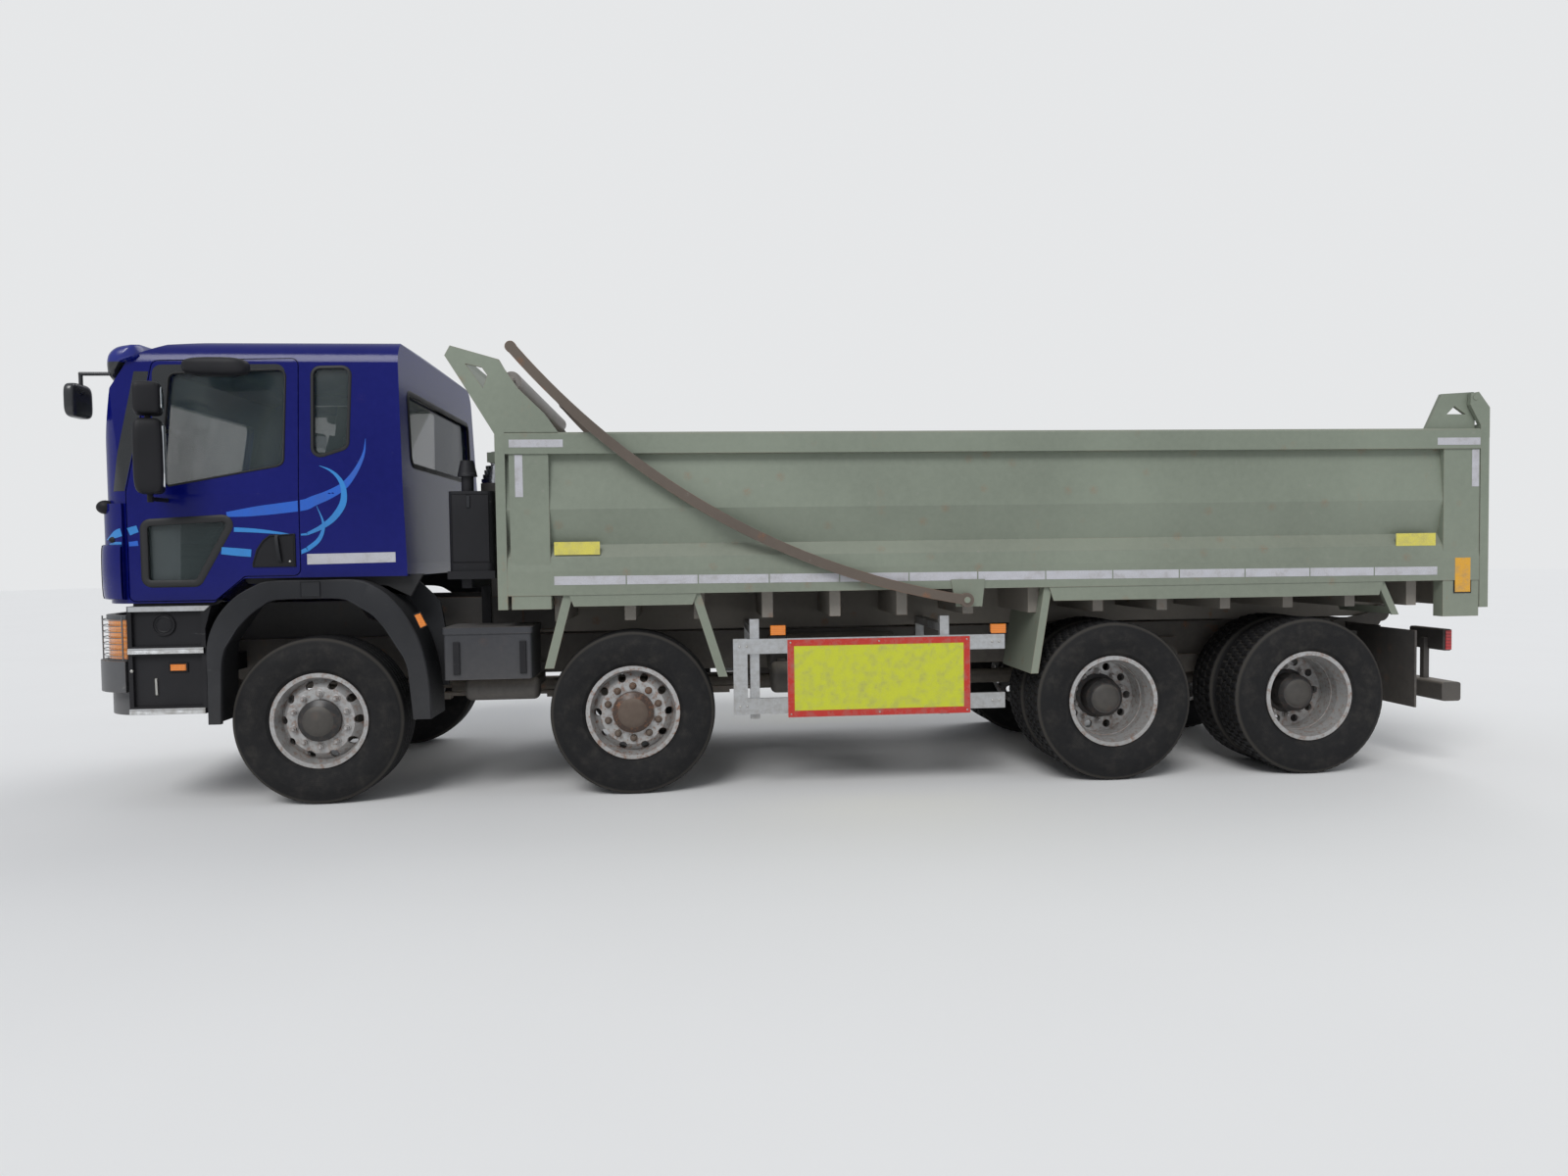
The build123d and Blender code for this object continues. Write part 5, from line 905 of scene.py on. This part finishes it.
# Signs on the side guards: painted alloy plates riveted over the rails, a yellow-green field in a
# red border. Both are left blank.
sign_green = film_finish("sign_field", (0.62, 0.66, 0.035), 260.0)
for side, outward in sides:
    piece(f"{side}_sign_border", [bar(block(2.928, 0.479, 4.114, 0.977), 1.2321, outward, 0.0010)],
          mark_red, "chassis", bend=20)
    piece(f"{side}_sign_field", [bar(block(2.970, 0.521, 4.072, 0.935), 1.2332, outward, 0.0006)],
          sign_green, "chassis", bend=20)


def studs(places, y, outward, radius=0.008, height=0.006):
    """Domed rivet or bolt heads on the lorry's side, at (distance behind the first axle, height) places."""
    dome = [(0.0, height), (radius * 0.5, height * 0.86), (radius * 0.85, height * 0.5), (radius, 0.0),
            (radius, -0.001), (0.0, -0.001)]
    return [turned(dome, (x, outward * y, z), outward, 10) for x, z in from_axle(places)]


bright = plain("bright_zinc", (0.50, 0.49, 0.46), 0.35, metallic=0.8)
for side, outward in sides:
    piece(f"{side}_sign_rivets", studs([(x, z) for x in (2.948, 3.520, 4.094) for z in (0.499, 0.957)],
                                       1.2331, outward, 0.006, 0.003), bright, "chassis")
    piece(f"{side}_guard_bolts", studs([(x, z) for x in (2.622, 2.668, 4.262, 4.308) for z in (0.555, 0.937)],
                                       1.2281, outward), bright, "chassis")

# Marker lamps: amber lenses with prisms moulded inside, screwed to black bases. Two stand on the
# guard's upper rail, one sits on the step panel and one, tilted, on the wheel arch.
def lens_finish(name, prism, dark, bright_colour):
    """A moulded lens: prism(x, y, z) is the pattern of its ribs, in tone and in relief."""
    f = Finish(name)
    ribs = prism(*f.axes())
    return f.coat(f.mix(ribs, dark, bright_colour), ribs * 0.1 + 0.12, relief=ribs, relief_depth=0.0015,
                  Coat_Weight=0.8)


amber = lens_finish("amber_lens", lambda x, y, z: x.wave(140.0) * 0.6 + z.wave(90.0) * 0.4, (0.62, 0.14, 0.008),
                    (0.95, 0.30, 0.02))


def lens(points, y, depth, outward):
    """A moulded plate with a rim eased by 5 mm."""
    return bar(points, y, outward, depth, 0.005)


for side, outward in sides:
    piece(f"{side}_marker_lenses",
          [lens(block(2.821, 1.006, 2.919, 1.070), 1.205, 0.026, outward),
           lens(block(4.253, 0.990, 4.356, 1.052), 1.205, 0.026, outward),
           lens(block(-0.856, 0.862, -0.764, 0.902), 1.1832, 0.016, outward),
           lens([(0.615, 1.177), (0.652, 1.190), (0.688, 1.115), (0.650, 1.097)], 1.2236, 0.013, outward)],
          amber, "chassis")
    piece(f"{side}_marker_bases",
          [lens(block(2.814, 0.9852, 2.926, 1.000), 1.200, 0.028, outward),
           lens(block(4.246, 0.9852, 4.363, 1.000), 1.200, 0.028, outward),
           lens(block(-0.866, 0.853, -0.754, 0.911), 1.1831, 0.008, outward),
           lens([(0.605, 1.183), (0.653, 1.201), (0.698, 1.113), (0.647, 1.087)], 1.2180, 0.011, outward)],
          black, "chassis")

# Steps: bright rolled treads with ribs pressed along them, each folded over the step's edge, and a
# bright strip at the top of the step panel.
panel_y, box_y = 1.1831, 1.2051  # the step panel and the boxes' faces, 0.1 mm out
for side, outward in sides:
    fold = [(0.0, -0.017), (0.0025, -0.0165), (0.0045, -0.013), (0.0020, -0.0095), (0.0045, -0.006),
            (0.0020, -0.0025), (0.0045, 0.001), (0.0020, 0.0045), (0.0045, 0.008), (0.0040, 0.0150),
            (0.0005, 0.0185), (-0.030, 0.0185), (-0.060, 0.0195), (-0.090, 0.0185), (-0.090, 0.0172), (0.0, 0.0172)]
    run = np.linspace(-4.188, -3.747, 8)[::-int(outward)]  # rearward or forward, so that the fold faces out
    treads = [swept([(x, outward * 1.2201, z) for x in run], fold) for z in (0.616, 0.986)]
    piece(f"{side}_step_treads", treads, alloy, "chassis")
    strip = [(-1.088, 1.227), (-0.640, 1.227), (-0.606, 1.2590), (-1.088, 1.2590)]
    piece(f"{side}_sill_strip", [lens(strip, box_y, 0.003, outward)], alloy, "chassis")
    cover = [(0.0, 0.004), (0.020, 0.004), (0.040, 0.002), (0.046, 0.006), (0.052, 0.002), (0.058, 0.003),
             (0.062, 0.009), (0.067, 0.009), (0.070, 0.0), (0.070, -0.001), (0.0, -0.001)]
    place = (axle_places[1] - 0.889, outward * panel_y, 1.144)
    piece(f"{side}_panel_cover", [turned(cover, place, outward, 32)], black, "chassis")
    latch = [(-0.949, 0.712), (-0.936, 0.712), (-0.938, 0.818), (-0.951, 0.818)]
    piece(f"{side}_panel_latch", [lens(latch, panel_y, 0.009, outward)]
          + studs([(-1.077, 0.866)], box_y, outward, 0.011), bright, "chassis")

# Door handles: black moulded trays on the door's skin, each with an upright pull lever in its
# dished floor and a bright lock barrel.
def box_section(width, height, round_off=0.003, count=3):
    """A rectangle with its corners rounded, as (side, up) offsets about its middle."""
    corner = np.linspace(0, math.pi / 2, count)
    out = []
    for turn, (sx, sy) in enumerate(((1, 1), (-1, 1), (-1, -1), (1, -1))):
        a = corner + turn * math.pi / 2
        out.append(np.stack([sx * (width / 2 - round_off) + round_off * np.cos(a),
                             sy * (height / 2 - round_off) + round_off * np.sin(a)], -1))
    return np.concatenate(out)


tray_line = np.array(from_axle([(-0.371, 1.512), (-0.345, 1.596), (-0.309, 1.650), (-0.267, 1.683), (-0.118, 1.690),
                                (-0.118, 1.490), (-0.371, 1.490)]))
tray_middle = tray_line.mean(0)
tray_reach = np.linalg.norm(tray_line - tray_middle, axis=1)[:, None]
for side, outward in sides:
    rings = []
    for grow, y in ((None, 1.1401), (0.004, 1.1401), (0.004, 1.1450), (0.001, 1.1485), (-0.004, 1.1490),
                    (-0.012, 1.1425), (None, 1.1422)):
        ring = tray_middle + (tray_line - tray_middle) * (0.0 if grow is None else 1 + grow / tray_reach)
        rings.append((ring, outward * y))
    piece(f"{side}_handle_tray", [(side_rings(rings), False, True)], black, f"{side}_door")
    lever = [(x, outward * y, z) for (x, z), y in zip(
        from_axle([(-0.226, 1.684), (-0.224, 1.665), (-0.216, 1.600), (-0.208, 1.536), (-0.206, 1.518)]),
        (1.143, 1.156, 1.160, 1.156, 1.143))]
    piece(f"{side}_handle_lever", [swept(lever, box_section(0.012, 0.022, 0.004), (1, 0, 0))], grey_black,
          f"{side}_door")
    piece(f"{side}_door_lock", studs([(-0.150, 1.520)], 1.1424, outward, 0.009, 0.008), bright, f"{side}_door")

# Lamp cages: seven grey steel wires bent round each corner of the bumper to keep stones off the
# lamps, welded to three uprights.
wire = plain("cage_wire", (0.20, 0.205, 0.21), 0.4, metallic=0.6)


def level_ring(run, outward, z):
    """A run of (x, distance outboard) points laid level at z."""
    return np.stack([run[:, 0], outward * run[:, 1], np.full(len(run), z)], -1)


cage_line = nose_line(0.050, 0.875, -4.235, 16)
for side, outward in sides:
    wires = []
    for z in np.linspace(0.955, 1.175, 7):
        wires.append(tube(level_ring(cage_line, outward, z), 0.003, 6))
    for k in (0, 9, len(cage_line) - 1):
        x, y = cage_line[k]
        wires.append(tube([(x, outward * y, z) for z in (0.930, 1.060, 1.200)], 0.0045, 8, (1, 0, 0)))
    piece(f"{side}_lamp_cage", wires, wire, "chassis")

# Nose: black backing behind the grille slots, and on each upper corner a round black lamp pod with
# a small side lamp below it.
slot_run = np.linspace(-0.742, 0.742, 24)
slot_x = -4.492 + nose_bow * (slot_run / 0.880) ** 2 + 0.013
piece("grille_backing", [swept(np.stack([slot_x, slot_run, np.full(len(slot_run), 1.420 + 0.078 * i)], -1),
                               box_section(0.012, 0.0345, 0.001)) for i in range(5)], black, "cab")
for side, outward in sides:
    pods = []
    for centre, radii in (((-4.372, float(nose_side(-4.372, 1.87)) - 0.004, 1.871), (0.052, 0.042, 0.043)),
                          ((-4.300, float(nose_side(-4.300, 1.67)) + 0.001, 1.668), (0.024, 0.012, 0.018))):
        up_turn = np.linspace(-math.pi / 2, math.pi / 2, 12)[:, None]
        round_turn = full_turn(20)[None, :]
        pods.append((np.stack([centre[0] + radii[0] * np.cos(up_turn) * np.cos(round_turn),
                               outward * centre[1] + radii[1] * np.cos(up_turn) * np.sin(round_turn),
                               centre[2] + radii[2] * np.sin(up_turn) + 0 * round_turn], -1), False, True))
    piece(f"{side}_nose_pods", pods, black, "cab")

# Corner deflectors: moulded bulges in the cab's blue on the nose's lower corners, which turn the air
# and spray past the doors, rounded off above and below.
inner_y, rear_x, levels = 0.985, -4.236, 14
edge_z = np.linspace(0, math.pi, levels)
rise = 1.470 - 0.170 * np.cos(edge_z)
swell = 0.020 + 0.022 * np.sin(edge_z) ** 0.35
for side, outward in sides:
    runs = [nose_line(float(outset), inner_y, rear_x, 18) for outset in (*swell, *[0.018] * levels)]
    heights = list(rise) + list(rise[::-1])
    rings = [level_ring(run, outward, z) for run, z in zip(runs, heights)]
    piece(f"{side}_corner_deflector", [(np.stack(rings), True, False)], blue, "cab", bend=50)

# Sun visor: one moulding across the cab, blue above and smoked below, its section rounded and its
# ends drawn in. The front mirror hangs from it on a bent arm.
def rounded(points, per=8):
    """A closed curve through the points: Catmull-Rom between each pair."""
    q = np.asarray(points, float)
    a, b, c, d = np.roll(q, 1, 0), q, np.roll(q, -1, 0), np.roll(q, -2, 0)
    u = np.linspace(0, 1, per, endpoint=False)[None, :, None]
    return catmull_rom(*(v[:, None, :] for v in (a, b, c, d)), u).reshape(-1, 2)


section = rounded([(-4.333, 2.652), (-4.345, 2.740), (-4.330, 2.810), (-4.278, 2.860), (-4.200, 2.880),
                   (-4.145, 2.878), (-4.122, 2.800), (-4.180, 2.772), (-4.240, 2.742), (-4.290, 2.655)])
visor_half = 1.112
across = np.array([-1.0, -0.995, -0.97, -0.90, -0.75, -0.5, -0.25, 0, 0.25, 0.5, 0.75, 0.90, 0.97, 0.995,
                   1.0]) * visor_half
shrink = np.array([0.0, 0.55, 0.80, 0.94, 1, 1, 1, 1, 1, 1, 1, 0.94, 0.80, 0.55, 0.0])
heart = section.mean(0)
hood = np.stack([np.stack([heart[0] - 0.025 + (section[:, 0] - heart[0]) * s + 0.035 * (y / visor_half) ** 4,
    np.full(len(section), y), heart[1] + (section[:, 1] - heart[1]) * s], -1) for y, s in zip(across, shrink)])
fittings = [(hood, False, True), shell((-4.542, -0.995, 2.530), (0.072, 0.226, 0.212), 0.0, 0.45)]
for path in ([(-4.525, -0.990, z) for z in (2.620, 2.660, 2.700)],
             [(x, -0.990, 2.700) for x in (-4.533, -4.42, -4.290)]):
    fittings.append(tube(path, 0.012, 10, (0, 1, 0)))
piece("visor_and_front_mirror", fittings, visor.material, "cab", ["cab_fittings"], bend=50)

# Rear lamps: ribbed red plastic lenses, screwed over the back and the outer side of each lamp box at
# the frame's end.
red = lens_finish("red_lens", lambda x, y, z: y.wave(45.0) * z.wave(45.0), (0.30, 0.004, 0.008), (0.75, 0.02, 0.02))
for side, outward in sides:
    back = side_plate(block(0.715, 0.795, 1.045, 0.935), 4.4601, 0.010, 1.0, 0.004)
    back = np.stack([back[..., 1], outward * back[..., 0], back[..., 2]], -1)
    flank = side_plate(block(4.415, 0.797, 4.458, 0.933), outward * 1.0501, 0.006, outward, 0.003)
    piece(f"{side}_rear_lenses", [(back, False, True), (flank, False, True)], red, "chassis")

# Rear window rubber: the same seal round the pane in the cab's back wall, which leans forward
# 45 mm in its height.
rear_loop = rim_loop([(-0.900, 2.130), (-0.900, 2.600), (0.900, 2.600), (0.900, 2.130)], 0.06)
flat, skin = seal(rear_loop, lambda y, z: -2.545 - 0.045 * (z - 1.5) / 1.39, seal_section)
piece("rear_window_rubber", [(np.stack([skin, flat[..., 0], flat[..., 1]], -1), True, True)], seal_rubber, "cab")

# Fittings on the boxes and the arch: rubber straps on the battery box, the intake's lid with its
# latch, and the joint band on the arch's crown.
piece("battery_straps", [lens(block(a, 0.800, a + 0.040, 1.004), box_y, 0.014, -1.0) for a in (0.838, 1.246)],
      black, "chassis")
piece("intake_lid", [lens(block(0.840, 1.500, 1.068, 1.925), 1.1601, 0.004, -1.0)], black, "chassis")
piece("intake_latch", [lens(block(0.933, 1.840, 0.954, 1.916), 1.1641, 0.008, -1.0)],
      grey_black, "chassis")
for side, outward in sides:
    piece(f"{side}_arch_joint", [lens(block(-0.062, 1.302, 0.054, 1.394), 1.2236, 0.003,
                                      outward)], grey_black, "chassis")

# Front arches: moulded plastic shells with a broad smooth lip, fixed over the plain arches beneath.
def open_curve(points, per=6):
    """A curve through the points, ends included: Catmull-Rom, its end tangents mirrored."""
    q = mirrored_ends(np.asarray(points, float))
    u = np.linspace(0, 1, per, endpoint=False)[None, :, None]
    run = catmull_rom(*(v[:, None, :] for v in (q[:-3], q[1:-2], q[2:-1], q[3:])), u)
    return np.concatenate([run.reshape(-1, 2), q[-2:-1]])


arch_out = open_curve(from_axle([(-0.634, 0.529), (-0.632, 0.780), (-0.630, 1.010), (-0.572, 1.172), (-0.472, 1.293),
                                 (-0.362, 1.364), (-0.250, 1.402), (0.000, 1.403), (0.250, 1.402), (0.372, 1.362),
                                 (0.482, 1.277), (0.590, 1.125), (0.657, 0.951), (0.692, 0.740), (0.699, 0.529)]))
arch_in = open_curve(from_axle([(-0.558, 0.529), (-0.552, 0.780), (-0.535, 0.960), (-0.470, 1.082), (-0.388, 1.180),
                                (-0.305, 1.244), (-0.225, 1.284), (0.000, 1.290), (0.180, 1.284), (0.290, 1.236),
                                (0.382, 1.156), (0.480, 1.020), (0.552, 0.878), (0.582, 0.700), (0.588, 0.529)]))
for side, outward in sides:
    rings = side_rings([(edge, outward * y) for edge, y in (
        (arch_out, 0.864), (arch_out, 1.216), (arch_out * 0.94 + arch_in * 0.06, 1.2235),
        (arch_in * 0.94 + arch_out * 0.06, 1.2235), (arch_in, 1.219), (arch_in, 1.192),
        (arch_in * 0.45 + arch_out * 0.55, 1.190), (arch_in * 0.45 + arch_out * 0.55, 0.864))])
    piece(f"{side}_arch_shell", [(rings, True, False)], grey_black, "chassis", bend=40)

# Seals: a black rubber skirt over each arch's crown closes the gap to the cab's floor, and a strip
# lies under the door's foot.
for side, outward in sides:
    skirt = [(-0.430, 1.385), (0.420, 1.360), (0.560, 1.290), (0.640, 1.431), (-0.470, 1.431)]
    strip = [(-1.100, 1.2595), (-0.600, 1.2595), (-0.560, 1.2860), (-1.100, 1.2860)]
    piece(f"{side}_cab_skirt", [lens(skirt, 1.060, 0.020, outward), lens(strip, 1.100, 0.020, outward)],
          seal_rubber, "chassis")

# Screen pillars: thin black covers glued between the windscreen and each door. They lie on the
# shell's own skin, which rays from outboard find, and follow the door's front edge as it leans back.
shell_node = nodes["cab_shell"]
pillar_lean, pillar_width = 0.150, 0.085
cast = BVHTree.FromPolygons([shell_node.matrix_world @ v.co for v in shell_node.data.vertices],
                            [tuple(face.vertices) for face in shell_node.data.polygons])
for side, outward in sides:
    rows = []
    for z in np.linspace(1.965, 2.700, 16):
        rear = axle_places[1] - 1.105 + pillar_lean * (z - 1.960) / 0.805 - 0.010
        rows.append([tuple(cast.ray_cast((x, outward * 1.6, z), (0, -outward, 0), 0.75)[0])
                     for x in np.linspace(rear - pillar_width, rear, 8)])
    rows = np.array(rows)
    lifted = rows + np.array([-0.0012, outward * 0.0016, 0])
    around = np.concatenate([rows, lifted[:, ::-1]], 1)
    piece(f"{side}_screen_pillar", [(around, False, True)], printed, "cab")

# Noise shields: thin dark sheets, bolted to the frame's brackets beside the engine and below the
# body's front. They also fill the shaded gap there, so their dark colour is partly painted shade.
for side, outward in sides:
    shade_sheet_line = [(0.300, 1.000), (1.150, 1.000), (1.150, 1.200), (1.060, 1.255), (0.300, 1.255)]
    # The sheets' dark primer stands in, in part, for painted shade in the gap beside the engine.
    piece(f"{side}_shade_filling_shield", [lens(shade_sheet_line, 0.452, 0.003, outward),
                                   lens(block(1.150, 1.020, 1.420, 1.190), 0.455, 0.003, outward)],
          frame_paint, "chassis")

# Behind each front arch a dark shroud panel fills the space down from the cab's floor: flat
# sheet, cut along the tyre's sweep.
outer = np.array(from_axle([(0.200, 1.395), (0.380, 1.400), (0.540, 1.405), (0.690, 1.250), (0.722, 1.070),
                            (0.745, 0.900), (0.735, 0.700)]))
inner = np.array(from_axle([(0.240, 1.380), (0.355, 1.322), (0.470, 1.265), (0.555, 1.108), (0.640, 0.950),
                            (0.668, 0.820), (0.685, 0.700)]))
for side, outward in sides:
    rings = side_rings([(outer, outward * 0.866), (outer, outward * 0.894), (inner, outward * 0.894),
                        (inner, outward * 0.866)])
    piece(f"{side}_arch_shroud", [(rings, True, False)], grey_black, "chassis")

# The roller blind behind the low window: pale cloth on a spring roller, clipped to the door's
# inner trim.
blind = plain("door_blind", (0.26, 0.28, 0.30), 0.7)
for side, outward in sides:
    cloth = [(-0.995, 1.412), (-0.820, 1.412), (-0.810, 1.765), (-0.995, 1.765)]
    piece(f"{side}_door_blind", [lens(cloth, 1.0981, 0.003, outward)], blind, f"{side}_door")

# The studio: a pale floor that runs out of sight, a wide soft light over the lorry's shoulder,
# a weaker one behind it, and an even pale sky.
floor_finish = Finish("studio_floor")
floor_tone = floor_finish.cloud(0.6, 3, 0.5)
floor_shade = floor_finish.mix(floor_tone, (0.80, 0.80, 0.795), (0.83, 0.83, 0.825))
floor_material = floor_finish.coat(floor_shade, floor_tone * 0.1 + 0.8)
ring = full_turn(64)
reach = np.array([0.0, 6.0, 14.0, 30.0, 60.0])[:, None]
floor_points = np.stack([reach * np.cos(ring), reach * np.sin(ring), 0 * reach * ring - 0.0005], -1)
floor_mesh = bpy.data.meshes.new("studio_floor")
floor_mesh.from_pydata(floor_points.reshape(-1, 3), [], grid_faces(len(reach), len(ring), False, True, 0)[:, ::-1])
floor_mesh.materials.append(floor_material)
floor = bpy.data.objects.new("studio_floor", floor_mesh)
bpy.context.scene.collection.objects.link(floor)
sky = bpy.data.worlds.new("studio")
bpy.context.scene.world = sky
sky.use_nodes = True
sky.node_tree.nodes.clear()
seen = sky.node_tree.nodes.new("ShaderNodeBackground")
seen.inputs["Color"].default_value = (0.79, 0.80, 0.81, 1.0)
lit = sky.node_tree.nodes.new("ShaderNodeBackground")
lit.inputs["Color"].default_value = (0.92, 0.95, 1.0, 1.0)
lit.inputs["Strength"].default_value = 0.50
path = sky.node_tree.nodes.new("ShaderNodeLightPath")
either = sky.node_tree.nodes.new("ShaderNodeMath")
either.operation = "MAXIMUM"
both = sky.node_tree.nodes.new("ShaderNodeMixShader")
out = sky.node_tree.nodes.new("ShaderNodeOutputWorld")
link = sky.node_tree.links.new
link(path.outputs["Is Camera Ray"], either.inputs[0])
link(path.outputs["Is Transmission Ray"], either.inputs[1])
link(either.outputs[0], both.inputs[0])
link(lit.outputs[0], both.inputs[1])
link(seen.outputs[0], both.inputs[2])
link(both.outputs[0], out.inputs["Surface"])
for name, place, strength, angle in (("key", (-0.45, -1.0, 1.1), 1.55, 28), ("rim", (0.8, 0.9, 1.0), 0.6, 40)):
    light = bpy.data.lights.new(name, "SUN")
    light.energy = strength
    light.angle = math.radians(angle)
    holder = bpy.data.objects.new(name, light)
    holder.rotation_euler = Vector(place).to_track_quat("Z", "Y").to_euler()
    bpy.context.scene.collection.objects.link(holder)
